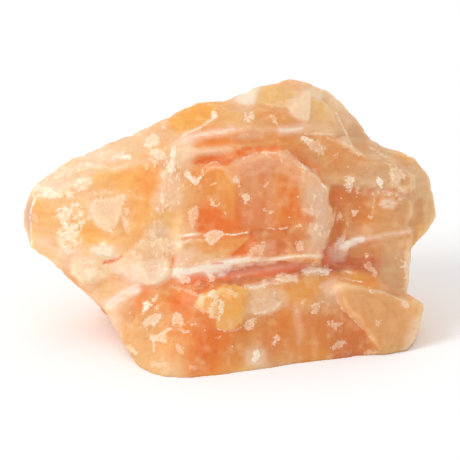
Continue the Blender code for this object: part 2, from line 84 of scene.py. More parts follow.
# %% Read and move the points of a mesh
def points_of(mesh):
    points = np.empty(len(mesh.vertices) * 3)
    mesh.vertices.foreach_get("co", points)
    return points.reshape(-1, 3)


def normals_of(mesh):
    normals = np.empty(len(mesh.vertices) * 3, np.float32)
    mesh.vertex_normals.foreach_get("vector", normals)
    return normals.reshape(-1, 3).astype(float)


def put_points(mesh, points):
    mesh.vertices.foreach_set("co", points.ravel())
    mesh.update()


def triangles_of(mesh):
    return sum(len(face.vertices) - 2 for face in mesh.polygons)


print("points of the solid:", len(points_of(rough_stone.data)))

# %% [markdown]
# The solid has about nine thousand flat triangles, which is enough for its forms but would show as
# facets in a waxy stone. A voxel remesh lays an even net of small faces over it, half a millimetre
# apart, which gives a skin of under two hundred thousand triangles. Its grain is about as fine as
# it can be with fewer than two hundred thousand triangles.

# %% Lay a fine skin over the solid
SKIN_GRAIN = 0.50 * MM
WELD_GAP = 0.001 * MM


def fine_skin(source, grain):
    """A mesh of small even faces over the source object's surface."""
    skin = bpy.data.objects.new("skin", source.data.copy())
    bpy.context.scene.collection.objects.link(skin)
    weld = skin.modifiers.new("weld", "WELD")
    weld.merge_threshold = WELD_GAP
    remesh = skin.modifiers.new("even net", "REMESH")
    remesh.mode = "VOXEL"
    remesh.voxel_size = grain
    graph = bpy.context.evaluated_depsgraph_get()
    mesh = bpy.data.meshes.new_from_object(skin.evaluated_get(graph))
    bpy.data.objects.remove(skin)
    return mesh


skin = fine_skin(rough_stone, SKIN_GRAIN)
print("skin:", len(skin.vertices), "points,", triangles_of(skin), "triangles")

# %% [markdown]
# Much of what follows compares a point with its surroundings. The mean over the points at the
# other ends of its edges is the smallest of them, and each round of averaging widens them.

# %% Average over the neighbours
class Neighbours:
    """Averages a value over each point's neighbours along the mesh's edges."""

    def __init__(self, mesh):
        edges = np.empty(len(mesh.edges) * 2, np.int32)
        mesh.edges.foreach_get("vertices", edges)
        self.a, self.b = edges.reshape(-1, 2).T
        self.size = len(mesh.vertices)
        starts = np.bincount(self.a, minlength=self.size)
        self.count = starts + np.bincount(self.b, minlength=self.size)

    def mean(self, values, rounds=1):
        for _ in range(rounds):
            columns = values.reshape(self.size, -1)
            summed = np.empty_like(columns)
            for k in range(columns.shape[1]):
                summed[:, k] = np.bincount(self.a, columns[self.b, k], self.size)
                summed[:, k] += np.bincount(self.b, columns[self.a, k], self.size)
            values = np.squeeze(summed / self.count[:, None])
        return values


near = Neighbours(skin)
print("neighbours of a point:", round(float(near.count.mean()), 2))

# %% [markdown]
# Two rounds of averaging take the edges of the solid's triangles off, while the ledges stay. The
# underside keeps its height, so that the stone still rests flat on the table.

# %% Smooth the skin
SMOOTHING_ROUNDS = 2
SMOOTHING_SHARE = 0.6
RESTING_BAND = 0.25 * MM

points = points_of(skin)
on_table = points[:, 2] < RESTING_BAND
for _ in range(SMOOTHING_ROUNDS):
    averaged = near.mean(points)
    averaged[on_table, 2] = points[on_table, 2]
    points = (1 - SMOOTHING_SHARE) * points + SMOOTHING_SHARE * averaged
put_points(skin, points)
print("points that rest on the table:", int(on_table.sum()))

# %% [markdown]
# Noise bends every level and border below, because a natural crystal is never ruled. These
# helpers give smooth noise of a chosen size, alone, summed up or as a push in all directions.

# %% Waves of noise
def wave(points, size, seed):
    """Smooth noise from -1 to 1 with lumps of about that size in millimetres."""
    shift = Vector((seed, -2 * seed, 3.1 * seed))
    return np.array([noise.noise(Vector(p) / (size * MM) + shift) for p in points])


def waves(points, parts):
    """The sum of several waves, each given by its height, its size and its seed."""
    return sum(height * wave(points, size, seed) for height, size, seed in parts)


def pushed(points, reach, size, seeds):
    """The points in millimetres, each pushed away by up to that reach along X, Y and Z."""
    return points / MM + reach * np.column_stack([wave(points, size, seed) for seed in seeds])


def unit(direction):
    return np.array(direction) / np.linalg.norm(direction)


print("a wave at the first point:", round(float(wave(points[:1], 13, 4.0)[0]), 3))

# %% [markdown]
# Calcite never breaks quite smooth: each face is a stack of thin flakes that end in small steps.
# The steps follow the same three directions all over the stone, so every point is pulled towards
# the nearest of many uneven levels across each direction. The front gets few of them here,
# because its own steps are traced one by one below.

# %% Break the skin into small cleavage steps
CLEAVAGE = [(-0.10, -0.93, 0.35), (0.10, 0.10, 0.99), (0.93, -0.35, 0.10)]
STEP_RANGE = (1.0, 3.6)
LEVELS = 90
LOWEST_LEVEL = -100
LEVEL_BEND = [(1.6, 13, 4.0), (0.5, 4, 9.0)]
DEEPEST_STEP = 0.34
STEP_SHARE = 0.8
STEPS_ON_FRONT = 0.22
FRONT_STARTS, FRONT_WIDTH = 0.1, 0.3
chance = np.random.default_rng(11)


def small_steps(points, normals, on_front):
    bend = waves(points, LEVEL_BEND)
    strength = 1 - (1 - STEPS_ON_FRONT) * on_front
    moved = np.zeros_like(points)
    for direction in map(unit, CLEAVAGE):
        levels = np.cumsum(chance.uniform(*STEP_RANGE, LEVELS)) + LOWEST_LEVEL
        along = points @ direction / MM + bend
        at = np.clip(np.searchsorted(levels, along), 1, len(levels) - 1)
        middle = (levels[at - 1] + levels[at]) / 2
        away = np.clip(along - middle, -DEEPEST_STEP, DEEPEST_STEP)
        facing = np.abs(normals @ direction) ** 2
        moved -= (STEP_SHARE * strength * facing * away * MM)[:, None] * direction
    return moved


normals = normals_of(skin)
on_front = np.clip((normals @ np.array(to_camera) - FRONT_STARTS) / FRONT_WIDTH, 0, 1)
steps = small_steps(points, normals, on_front)
steps[on_table] = 0
points = points + steps
put_points(skin, points)
print("steps: up to", round(float(np.linalg.norm(steps, axis=1).max() / MM), 2), "mm")

# %% [markdown]
# Between the steps a broken face is a patchwork of little flat breaks. Seed points are spread over
# the skin, every other point joins the seed that is nearest in place and in facing, and each
# group is pressed flat. The breaks are clearer where slow noise says that the stone is rugged, so
# that some faces stay smooth and waxy.

# %% Press small flat breaks into the skin
BREAK_SIZE = 2.3
BREAK_BEND = (0.9, 2.2, (3.0, 7.0, 11.0))
SAME_FACING = 3.2
DEEPEST_BREAK = 0.2
SMOOTHEST = 0.35
RUGGED_ZONE = 12
ROWS_AT_ONCE = 2000


def nearest_seed(values, seeds):
    """For each row of values, the number of the nearest row of seeds."""
    nearest = np.empty(len(values), int)
    size = (seeds ** 2).sum(axis=1)
    for start in range(0, len(values), ROWS_AT_ONCE):
        rows = values[start:start + ROWS_AT_ONCE]
        nearest[start:start + ROWS_AT_ONCE] = np.argmin(size - 2 * rows @ seeds.T, axis=1)
    return nearest


def sum_by_group(values, group, groups):
    return np.column_stack([np.bincount(group, values[:, k], groups) for k in range(3)])


def small_breaks(points, normals):
    area = sum(face.area for face in skin.polygons) / MM ** 2
    picks = chance.choice(len(points), round(area / BREAK_SIZE ** 2), replace=False)
    values = np.hstack([pushed(points, *BREAK_BEND), SAME_FACING * normals])
    group = nearest_seed(values, values[picks])
    count = np.maximum(np.bincount(group, minlength=len(picks)), 1)
    middle = sum_by_group(points, group, len(picks)) / count[:, None]
    facing = sum_by_group(normals, group, len(picks))
    facing /= np.linalg.norm(facing, axis=1)[:, None] + 1e-9
    away = np.einsum("ij,ij->i", points - middle[group], facing[group]) / MM
    zone = np.clip(0.5 + 1.6 * wave(points, RUGGED_ZONE, 5.0), 0, 1)
    rugged = SMOOTHEST + (1 - SMOOTHEST) * zone
    away = rugged * np.clip(away, -DEEPEST_BREAK, DEEPEST_BREAK)
    return -(away * MM)[:, None] * facing[group]


normals = normals_of(skin)
breaks = small_breaks(points, normals)
breaks[on_table] = 0
points = points + breaks
put_points(skin, points)
print("small breaks: up to", round(float(np.linalg.norm(breaks, axis=1).max() / MM), 2), "mm")

# %% [markdown]
# Every mark on the front is traced where it is seen, in picture pixels, four to a millimetre. To
# lay it on the stone, each skin point is given the pixel it is seen at, and a ray towards the
# camera tells whether anything hides it. So a mark lies on the real surface, ends where the
# surface turns away, and keeps its size when the stone is turned.

# %% Where each point of the skin is seen
CLEAR_OF_SKIN = 0.5 * MM
HALF_SEEN = 0.45
GRAZING = 0.12
SIGHT_FADE = 2.5

normals = normals_of(skin)
tree = BVHTree.FromPolygons(
    [Vector(p) for p in points], [tuple(face.vertices) for face in skin.polygons])


def on_stone(x, y):
    """The place on the stone that is seen at pixel (x, y)."""
    right = (x - PICTURE / 2) / PIXELS_PER_MM * MM
    up = (PICTURE / 2 - y) / PIXELS_PER_MM * MM
    aim = MIDDLE_OF_VIEW + Vector((right, 0, 0)) + up_the_view * up
    place, _, _, _ = tree.ray_cast(camera.location, (aim - camera.location).normalized())
    return place


def pixels_of(points):
    """The pixel at which each point is seen."""
    away = points - np.array(camera.location)
    scale = CAMERA_DISTANCE / -(away @ np.array(to_camera)) * PIXELS_PER_MM / MM
    x = PICTURE / 2 + away[:, 0] * scale
    y = PICTURE / 2 - away @ np.array(up_the_view) * scale
    return np.column_stack([x, y])


def in_sight(points, turned_to_view):
    """1 where nothing is between the point and the camera, 0 behind the stone."""
    free = np.zeros(len(points))
    for k in np.flatnonzero(turned_to_view > 0):
        start = Vector(points[k]) + CLEAR_OF_SKIN * to_camera
        free[k] = tree.ray_cast(start, to_camera)[0] is None
    return free


pixel = pixels_of(points)
turned_to_view = normals @ np.array(to_camera)
sight = near.mean(in_sight(points, turned_to_view), 2)
sight_limit = SIGHT_FADE * np.minimum(sight - HALF_SEEN, turned_to_view - GRAZING)
seen = np.flatnonzero(sight_limit > -1)
middle = [round(c / MM, 1) for c in on_stone(PICTURE / 2, PICTURE / 2)]
print("the middle pixel is at", middle, "mm;", len(seen), "points seen")

# %% [markdown]
# Two helpers read the traces. One gives how deep each point lies inside a patch, and the other
# how far it is from a line, both in millimetres. Depths are kept instead of a yes or no, because
# the material can then break up an edge more finely than the mesh.

# %% Depth inside a patch and distance from a line
FAR = 3.0
TINY = 1e-12


def close_to(trace, reach=FAR):
    """The seen points within that many millimetres of the trace's box."""
    low = np.min(trace, axis=0) - reach * PIXELS_PER_MM
    high = np.max(trace, axis=0) + reach * PIXELS_PER_MM
    return seen[((pixel[seen] > low) & (pixel[seen] < high)).all(axis=1)]


def gaps_to_edges(p, starts, ends):
    """Distance in pixels to the nearest edge, that edge's number and the share walked along it."""
    best = np.full(len(p), 1e9)
    edge = np.zeros(len(p), int)
    share = np.zeros(len(p))
    for k, (a, b) in enumerate(zip(starts, ends)):
        along = b - a
        t = (p - a) @ along / max(along @ along, TINY)
        gap = np.linalg.norm(p - a - np.clip(t, 0, 1)[:, None] * along, axis=1)
        nearer = gap < best
        best = np.where(nearer, gap, best)
        edge[nearer] = k
        share[nearer] = t[nearer]
    return best, edge, share


def limited(close, gap):
    """The gaps in millimetres of the close points, cut off at -FAR and where they aren't seen."""
    depth = np.full(len(points), -FAR)
    depth[close] = np.maximum(np.minimum(gap, sight_limit[close]), -FAR)
    return depth


def patch_depth(trace):
    """How far inside the traced patch each skin point lies, at least -FAR."""
    corners = np.array(trace, float)
    ends = np.roll(corners, -1, axis=0)
    close = close_to(corners)
    p = pixel[close]
    gap, _, _ = gaps_to_edges(p, corners, ends)
    inside = np.zeros(len(p), bool)
    for a, b in zip(corners, ends):
        crosses = (a[1] > p[:, 1]) != (b[1] > p[:, 1])
        rise = b[1] - a[1] if b[1] != a[1] else TINY
        inside ^= crosses & (p[:, 0] < a[0] + (p[:, 1] - a[1]) / rise * (b[0] - a[0]))
    return limited(close, np.where(inside, gap, -gap) / PIXELS_PER_MM)


def line_depth(trace, half_width):
    """How far inside a line of that half width in millimetres each point lies."""
    line = np.array(trace, float)
    close = close_to(line, max(FAR, half_width))
    gap, _, _ = gaps_to_edges(pixel[close], line[:-1], line[1:])
    return limited(close, half_width - gap / PIXELS_PER_MM)


print("seams and patches reach", FAR, "mm past their edge")

# %% [markdown]
# A mark has a depth and a strength at every point, and where two marks overlap, the deeper one
# counts. The ramp turns a depth into a weight with a soft edge.

# %% Ramps and marks
def ramp(values, low, high):
    """0 under low, 1 over high, smooth between."""
    t = np.clip((values - low) / (high - low), 0, 1)
    return t * t * (3 - 2 * t)


def share_of(mask):
    return f"{100 * float(mask.mean()):.1f} % of the points"


class Marks:
    """Depth and strength of the deepest mark at each point."""

    def __init__(self):
        self.depth = np.full(len(points), -FAR)
        self.strength = np.full(len(points), 0.5)

    def add(self, depth, strength):
        deeper = depth > self.depth
        self.depth[deeper] = depth[deeper]
        self.strength[deeper] = strength

    def add_patches(self, patches):
        for strength, trace in patches:
            self.add(patch_depth(trace), strength)

    def add_lines(self, lines):
        for half_width, strength, trace in lines:
            self.add(line_depth(trace, half_width), strength)

    def covered(self):
        return share_of(self.depth > 0)


print("an empty mark covers", Marks().covered())

# %% [markdown]
# The largest of the small flakes have an edge that catches the light. Each is a line walked so
# that the higher side is on the left hand, with the height in millimetres. The step is sharp at
# the line and dies out over a few millimetres on both sides, as a thin flake does.

# %% Small ledges of the front
STEP_REACH = 1.5
STEP_WIDTH = 0.28
STEP_END = 0.7
LOWER_SIDE = 0.6
PLATE_EDGE = [(335, 296), (342, 309), (352, 318), (362, 328), (370, 337), (380, 349)]
BLOCK_RIB = [(373, 192), (374, 200), (373, 208), (371, 216)]
LEDGES = [
    (0.3, [(335, 186), (372, 188), (400, 189)]),
    (0.25, [(303, 134), (337, 135)]),
    (0.22, [(180, 236), (206, 234), (225, 235), (249, 232), (268, 228), (288, 228)]),
    (0.28, [(301, 172), (303, 180), (306, 188), (308, 195), (305, 205), (300, 210), (312, 217)]),
    (0.25, [(303, 226), (306, 230), (310, 235), (315, 240)]),
    (0.12, [(233, 168), (240, 168), (256, 169), (270, 161), (283, 162), (293, 163), (297, 160)]),
    (0.25, [(263, 104), (275, 108), (288, 109), (292, 112), (294, 118), (305, 121), (308, 122)]),
    (0.22, [(310, 118), (311, 105), (311, 94)]),
    (0.18, [(183, 150), (215, 150), (240, 148), (262, 147)]),
    (0.2, [(33, 193), (35, 199), (32, 207), (30, 215), (31, 235), (32, 245)]),
    (0.15, [(33, 211), (45, 212), (58, 215)]),
    (0.35, [(136, 281), (145, 284), (152, 286), (160, 283), (168, 277), (171, 272)]),
    (0.22, [(168, 238), (150, 239), (143, 240), (133, 249), (120, 256)]),
    (0.2, [(122, 257), (112, 262), (104, 264)]),
    (0.28, [(275, 283), (262, 286), (250, 289), (242, 286)]),
    (0.22, [(332, 270), (318, 268), (303, 270)]),
    (0.2, PLATE_EDGE),
    (0.22, [(410, 305), (395, 297), (375, 290)]),
    (0.25, [(224, 301), (220, 300), (214, 289), (206, 296), (199, 296), (194, 305)]),
    (0.25, [(218, 329), (225, 331), (238, 329), (244, 325)]),
    (0.28, [(230, 257), (242, 246), (248, 240), (250, 236)]),
    (0.18, [(168, 286), (180, 287), (195, 292), (200, 297)]),
    (0.14, BLOCK_RIB),
    (0.18, [(396, 258), (404, 240), (411, 212), (410, 192)]),
    (0.22, [(295, 250), (292, 243), (288, 238), (283, 228)]),
    (0.22, [(151, 155), (155, 159), (163, 160), (166, 158)]),
    (0.22, [(144, 146), (150, 148), (154, 146), (160, 142)]),
    (0.16, [(60, 170), (74, 170), (88, 169), (104, 169)]),
    (0.16, [(95, 158), (104, 159), (115, 158), (131, 159)]),
    (0.22, [(362, 266), (372, 272), (378, 276)]),
    (0.18, [(150, 342), (160, 341), (168, 345)]),
    (0.18, [(172, 326), (184, 328), (194, 334)]),
    (0.2, [(246, 164), (262, 160), (285, 160)]),
]


def ledge_rise(trace, height):
    line = np.array(trace, float)
    close = close_to(line)
    p = pixel[close]
    _, edge, share = gaps_to_edges(p, line[:-1], line[1:])
    a, along = line[:-1][edge], (line[1:] - line[:-1])[edge]
    length = np.linalg.norm(along, axis=1)
    left = ((p - a)[:, 0] * along[:, 1] - (p - a)[:, 1] * along[:, 0]) / length / PIXELS_PER_MM
    past_end = np.maximum(share - 1, -share).clip(0) * length / PIXELS_PER_MM
    fade = np.exp(-np.abs(left) / STEP_REACH) * np.exp(-(past_end / STEP_END) ** 2)
    step = np.clip(left / STEP_WIDTH, -LOWER_SIDE, 1)
    rise = np.zeros(len(points))
    rise[close] = height * fade * step * ramp(sight_limit[close], 0, 0.6)
    return rise


ledges = sum(ledge_rise(trace, height) for height, trace in LEDGES)
print("ledges:", len(LEDGES), "from", round(ledges.min(), 2), "to", round(ledges.max(), 2), "mm")

# %% [markdown]
# A bruise is where a knock has crushed the crystal to frost. The nose and the long slope behind
# it were knocked most: a cluster of small chips on the nose, and one bruise as large as a
# fingernail on the slope. Each patch has a strength, near 1 where the frost is almost white.

# %% Frost on the nose and the left slope
def box(left, top, right, bottom):
    """The corners of a small upright patch."""
    return [(left, top), (right, top), (right, bottom), (left, bottom)]


FROST_LEFT = [
    (0.85, [(44, 192), (48, 190), (56, 191), (60, 194), (57, 197), (48, 199), (44, 198)]),
    (0.75, [(64, 192), (68, 190), (73, 193), (73, 198), (67, 197)]),
    (0.6, [(78, 180), (84, 177), (91, 179), (91, 184), (88, 189), (80, 190), (81, 184)]),
    (0.6, [(64, 173), (66, 171), (76, 174), (70, 175)]),
    (0.5, [(60, 169), (62, 166), (70, 167), (74, 169), (66, 170)]),
    (0.6, [(82, 163), (88, 162), (94, 164), (101, 165), (108, 166), (104, 168), (95, 168), (88, 168)]),
    (0.5, [(56, 171), (62, 173), (63, 176), (57, 177)]),
    (0.75, [(64, 206), (68, 207), (71, 210), (70, 216), (69, 220), (65, 221), (68, 224), (73, 224),
        (78, 226), (77, 229), (71, 231), (66, 229), (63, 225), (60, 221), (57, 217), (59, 213),
        (62, 210)]),
    (0.7, [(72, 204), (78, 203), (81, 205), (76, 207), (71, 208)]),
    (0.6, [(72, 209), (74, 213), (71, 213)]),
    (0.7, [(80, 211), (84, 211), (84, 215), (81, 218), (79, 221), (78, 216)]),
    (0.55, [(88, 213), (91, 217), (89, 221), (86, 219)]),
    (0.7, [(81, 221), (85, 219), (86, 223), (83, 228), (81, 230), (80, 225)]),
    (0.75, [(66, 231), (76, 231), (78, 233), (76, 241), (79, 245), (75, 247), (70, 241), (65, 237),
        (63, 233)]),
    (0.7, [(58, 235), (62, 237), (66, 246), (72, 250), (78, 250), (74, 253), (66, 254), (61, 248),
        (57, 241)]),
    (0.65, [(90, 205), (93, 200), (97, 198), (103, 199), (112, 197), (117, 196), (120, 194), (125, 195),
        (127, 198), (125, 203), (122, 207), (121, 215), (119, 219), (117, 226), (115, 229), (111, 233),
        (106, 231), (101, 228), (97, 225), (94, 221), (92, 216), (89, 212)]),
    (0.6, box(94, 190, 97, 194)),
    (0.6, [(99, 192), (103, 193), (105, 198), (101, 197)]),
    (0.5, [(103, 191), (106, 191), (106, 194), (103, 193)]),
    (0.5, box(109, 192, 112, 194)),
    (0.5, box(88, 192, 92, 194)),
    (0.6, [(121, 219), (124, 217), (128, 220), (130, 228), (129, 232), (126, 231), (123, 226)]),
    (0.6, [(124, 208), (129, 208), (130, 213), (126, 215)]),
    (0.5, [(95, 154), (100, 152), (106, 153), (108, 156), (104, 158), (96, 157)]),
    (0.5, [(114, 156), (119, 154), (122, 155), (120, 157), (115, 157)]),
    # Painted glint: this white patch is where the slope shines, laid as frost.
    (0.95, [(122, 157), (124, 155), (131, 155), (130, 158), (124, 159)]),
    (0.5, [(137, 134), (141, 132), (144, 133), (139, 136)]),
    (0.75, [(145, 143), (148, 138), (152, 134), (157, 136), (160, 139), (160, 142), (154, 146),
        (150, 148), (144, 146)]),
    (0.75, [(151, 149), (158, 148), (164, 153), (166, 158), (163, 160), (155, 159), (151, 155)]),
    (0.6, [(149, 157), (154, 159), (159, 160), (158, 163), (155, 168), (154, 172), (152, 170),
        (153, 165), (150, 162), (148, 168), (145, 171), (146, 166)]),
    (0.5, [(160, 127), (164, 124), (167, 127), (166, 130), (162, 130)]),
    (0.9, [(171, 147), (175, 147), (175, 160), (176, 172), (170, 172), (166, 170), (166, 165),
        (171, 160), (171, 150)]),
    (0.9, [(158, 213), (161, 209), (166, 205), (169, 203), (165, 208), (160, 214)]),
    (0.5, [(153, 223), (158, 219), (163, 222), (162, 227), (155, 227)]),
    (0.45, [(149, 230), (157, 228), (163, 230), (157, 233), (150, 236)]),
]
frost = Marks()
frost.add_patches(FROST_LEFT)
print("frost on the left:", frost.covered())

# %% [markdown]
# The front has one large, nearly flat face, like a shield. Its brow and its right rim are frosted
# all along, because they stand out most, and single chips lie scattered over the rest. The crest
# above and the block on the right have their own chips.

# %% Frost on the shield, the crest and the right block
FROST_SHIELD = [
    (0.7, [(297, 159), (300, 162), (304, 164), (308, 168), (310, 170), (306, 171), (302, 168),
        (299, 163)]),
    (0.85, [(184, 173), (186, 170), (189, 169), (190, 172), (192, 175), (197, 177), (201, 176),
        (200, 180), (199, 183), (196, 185), (192, 184), (190, 182), (188, 178), (185, 176)]),
    (0.6, [(233, 177), (236, 176), (238, 179), (240, 183), (240, 187), (238, 186), (236, 183),
        (234, 183)]),
    (0.75, [(240, 191), (243, 194), (247, 193), (249, 195), (250, 199), (249, 202), (247, 205),
        (245, 204), (244, 201), (242, 199), (241, 195)]),
    (0.5, [(264, 185), (267, 182), (268, 183), (266, 187)]),
    (0.6, [(211, 199), (214, 199), (213, 203), (214, 207), (211, 206)]),
    (0.6, [(263, 209), (268, 210), (275, 210), (276, 212), (270, 213), (265, 211)]),
    (0.55, [(192, 207), (197, 206), (198, 210), (200, 213), (199, 217), (196, 220), (195, 225),
        (193, 229), (190, 226), (188, 221), (188, 213)]),
    (0.95, [(322, 184), (326, 185), (326, 188), (322, 188)]),
    (0.75, [(205, 235), (209, 232), (215, 230), (221, 231), (224, 234), (221, 238), (217, 240),
        (215, 243), (211, 245), (208, 243), (205, 240)]),
    (0.6, [(296, 225), (300, 224), (303, 227), (300, 229), (297, 228)]),
    (0.5, [(250, 249), (254, 247), (255, 242), (258, 244), (262, 242), (265, 241), (265, 246),
        (263, 252), (261, 258), (262, 261), (250, 260), (243, 258), (248, 254), (251, 252)]),
    (0.5, [(296, 240), (303, 242), (303, 250), (297, 252)]),
]
FROST_TOP = [
    # Painted glints: this white spot and the next patch are where the crest shines, laid as frost.
    (0.95, [(211, 112), (215, 111), (217, 115), (215, 120), (212, 118)]),
    (0.7, [(245, 114), (247, 117), (250, 112), (253, 112), (254, 117), (252, 121), (248, 122),
        (245, 119)]),
    (0.5, [(238, 98), (245, 94), (252, 91), (256, 92), (255, 100), (252, 106), (245, 104), (238, 103)]),
    (0.6, [(270, 114), (273, 114), (276, 120), (278, 126), (274, 123), (271, 118)]),
    (0.35, [(303, 93), (308, 91), (311, 95), (311, 105), (310, 115), (308, 122), (305, 121), (300, 118),
        (294, 118), (292, 112), (288, 109), (275, 108), (263, 104), (275, 103), (287, 100), (295, 98),
        (300, 98)]),
    (0.85, [(301, 137), (305, 136), (311, 139), (315, 141), (311, 142), (308, 146), (305, 143),
        (302, 140)]),
    (0.5, [(310, 141), (320, 141), (325, 147), (325, 155), (321, 156), (316, 152), (309, 150),
        (308, 146)]),
    (0.5, box(335, 152, 338, 156)),
    (0.4, [(341, 137), (347, 136), (350, 141), (352, 147), (357, 149), (361, 152), (364, 155),
        (360, 156), (354, 154), (350, 151), (346, 146), (342, 142)]),
    (0.65, [(388, 164), (392, 167), (397, 168), (400, 170), (404, 173), (407, 175), (405, 179),
        (401, 180), (400, 184), (396, 185), (392, 184), (391, 178), (390, 172)]),
    (0.6, [(396, 183), (402, 187), (407, 191), (405, 194), (397, 187)]),
    (0.75, [(346, 175), (351, 176), (355, 177), (354, 181), (352, 185), (351, 190), (348, 193),
        (346, 191), (345, 186), (346, 180)]),
    (0.6, [(356, 185), (359, 187), (360, 192), (359, 197), (357, 196)]),
    (0.95, [(376, 178), (382, 179), (384, 180), (383, 184), (382, 187), (379, 187), (377, 184)]),
    (0.6, [(377, 188), (380, 189), (379, 193), (377, 193)]),
    (0.6, [(337, 212), (341, 212), (342, 217), (341, 221), (338, 221), (336, 217)]),
    (0.5, box(346, 222, 348, 229)),
    (0.7, [(353, 209), (358, 208), (358, 213), (354, 216), (352, 213)]),
    (0.5, box(368, 216, 372, 219)),
    (0.75, [(333, 243), (338, 240), (344, 236), (345, 240), (350, 241), (356, 240), (350, 246),
        (349, 251), (340, 251), (336, 252), (333, 247)]),
    (0.7, box(365, 254, 369, 258)),
    (0.5, [(362, 266), (366, 263), (369, 261), (372, 265), (376, 270), (378, 275), (375, 276),
        (372, 272), (366, 270)]),
]
frost.add_patches(FROST_SHIELD + FROST_TOP)
print("frost so far:", frost.covered())

# %% [markdown]
# The foot is what the stone stands on, and it has been knocked about more than the rest: chips of
# every size, a crystalline crust over the yellow lump, and flecks along the small ledges.

# %% Frost on the flap, the undercut and the foot
FROST_LOW = [
    (0.7, [(91, 249), (98, 246), (101, 243), (105, 242), (108, 246), (112, 251), (114, 255), (106, 256),
        (99, 254), (92, 252)]),
    (0.6, [(85, 268), (97, 268), (99, 273), (95, 278), (86, 277)]),
    (0.9, box(141, 241, 144, 243)),
    (0.7, [(148, 233), (152, 231), (156, 235), (158, 238), (152, 239)]),
    (0.6, [(151, 241), (157, 242), (156, 247), (151, 246)]),
    (0.5, [(133, 250), (136, 251), (136, 257), (133, 256)]),
    (0.6, box(146, 266, 149, 269)),
    (0.6, [(172, 251), (178, 248), (184, 244), (192, 238), (184, 241), (174, 247)]),
    (0.6, box(184, 257, 188, 261)),
    (1.0, [(172, 268), (183, 268), (184, 274), (173, 275)]),
    (0.75, [(176, 275), (183, 274), (189, 276), (190, 281), (186, 284), (182, 283), (178, 279)]),
    (0.5, [(168, 286), (180, 287), (195, 292), (200, 297), (188, 293), (175, 289)]),
    (0.45, [(193, 285), (196, 282), (200, 281), (202, 283), (199, 287), (195, 289)]),
    (0.7, [(208, 275), (212, 273), (216, 276), (214, 280), (213, 283), (209, 282), (208, 279)]),
    (0.5, box(211, 284, 213, 287)),
    (0.7, [(225, 266), (232, 262), (243, 259), (246, 262), (245, 268), (238, 270), (230, 270),
        (222, 272)]),
    (0.5, box(238, 276, 242, 278)),
    (0.75, [(242, 286), (246, 284), (252, 287), (258, 288), (256, 290), (250, 289)]),
    (0.6, [(275, 277), (280, 273), (285, 272), (290, 275), (296, 276), (298, 281), (292, 282),
        (282, 282), (276, 281)]),
    (0.6, [(227, 289), (232, 289), (232, 295), (228, 294)]),
    (0.5, [(233, 293), (236, 293), (236, 298), (233, 297)]),
    (0.5, box(273, 292, 276, 297)),
    (0.5, box(301, 300, 304, 304)),
    (0.85, [(303, 270), (310, 266), (318, 268), (326, 268), (332, 270), (329, 273), (328, 278),
        (322, 275), (315, 272), (308, 276), (304, 275)]),
]
FROST_FOOT = [
    (0.95, [(143, 303), (146, 301), (150, 301), (152, 304), (151, 308), (147, 310), (144, 312),
        (141, 314), (143, 309), (142, 306)]),
    (0.6, [(152, 300), (154, 296), (157, 293), (159, 294), (158, 299), (155, 302), (152, 303)]),
    (0.6, [(155, 305), (158, 305), (158, 311), (155, 310)]),
    (0.7, [(143, 323), (148, 317), (155, 313), (161, 313), (162, 318), (158, 322), (153, 326),
        (150, 324), (147, 328), (144, 326)]),
    (0.7, [(149, 337), (152, 334), (158, 335), (163, 332), (168, 327), (171, 328), (168, 332),
        (164, 335), (167, 339), (166, 344), (162, 342), (157, 340), (154, 344), (151, 340)]),
    (0.6, [(153, 341), (155, 341), (155, 352), (153, 351)]),
    (0.7, [(171, 318), (174, 314), (177, 311), (180, 314), (183, 319), (184, 324), (186, 327),
        (181, 326), (177, 325), (173, 326), (171, 322)]),
    (0.6, [(176, 327), (182, 329), (188, 331), (193, 333), (187, 334), (180, 332)]),
    (0.7, [(189, 323), (193, 324), (196, 321), (196, 325), (190, 326)]),
    (0.65, [(126, 346), (130, 345), (134, 348), (137, 352), (136, 355), (131, 352), (127, 350)]),
    (0.5, [(175, 344), (181, 345), (185, 353), (182, 354), (177, 350)]),
    (0.45, [(194, 305), (198, 301), (199, 296), (202, 293), (206, 296), (206, 302), (203, 306),
        (205, 312), (203, 315), (200, 311), (197, 308)]),
    (0.7, [(206, 296), (210, 291), (214, 289), (218, 294), (219, 300), (215, 308), (211, 306),
        (213, 298)]),
    (0.55, [(208, 307), (214, 308), (216, 318), (210, 319)]),
    (0.8, [(219, 299), (224, 301), (223, 308), (222, 316), (219, 322), (218, 318), (219, 308)]),
    (0.7, [(244, 323), (249, 318), (256, 318), (255, 323), (253, 328), (249, 331), (245, 329)]),
    (0.3, [(250, 300), (262, 297), (275, 299), (282, 303), (280, 309), (276, 314), (268, 316),
        (260, 315), (252, 312)]),
    (0.6, [(217, 337), (220, 335), (222, 336), (220, 338)]),
    (0.7, [(272, 336), (276, 335), (279, 339), (277, 343), (273, 347), (271, 348), (271, 344),
        (273, 340)]),
    (0.95, [(254, 351), (258, 350), (261, 354), (259, 359), (255, 362), (251, 363), (253, 357)]),
    (0.6, [(367, 284), (370, 287), (373, 291), (372, 293), (369, 289)]),
    (0.6, [(312, 307), (315, 303), (319, 304), (319, 308), (318, 313), (315, 315), (311, 313)]),
    (0.5, [(321, 301), (326, 302), (328, 305), (322, 304)]),
    (0.5, box(296, 309, 298, 313)),
    (0.65, [(325, 321), (330, 322), (336, 322), (341, 321), (344, 323), (342, 326), (337, 326),
        (336, 329), (333, 329), (331, 326), (328, 325)]),
    (0.6, box(376, 321, 380, 325)),
    (0.7, [(402, 301), (408, 303), (410, 309), (405, 308), (402, 305)]),
    (0.6, [(332, 347), (337, 342), (342, 340), (346, 342), (344, 346), (340, 349), (334, 349)]),
    (0.5, [(362, 352), (370, 350), (377, 352), (375, 357), (364, 357)]),
    (0.45, [(150, 362), (168, 362), (169, 368), (152, 367)]),
    (0.45, box(190, 366, 197, 370)),
]
frost.add_patches(FROST_LOW + FROST_FOOT)
print("frost in all:", frost.covered())

# %% [markdown]
# Milky veins run through the stone where the calcite grew cloudy. Thin ones are crisp lines of
# uneven width. Each is a half width in millimetres, a strength and a line.

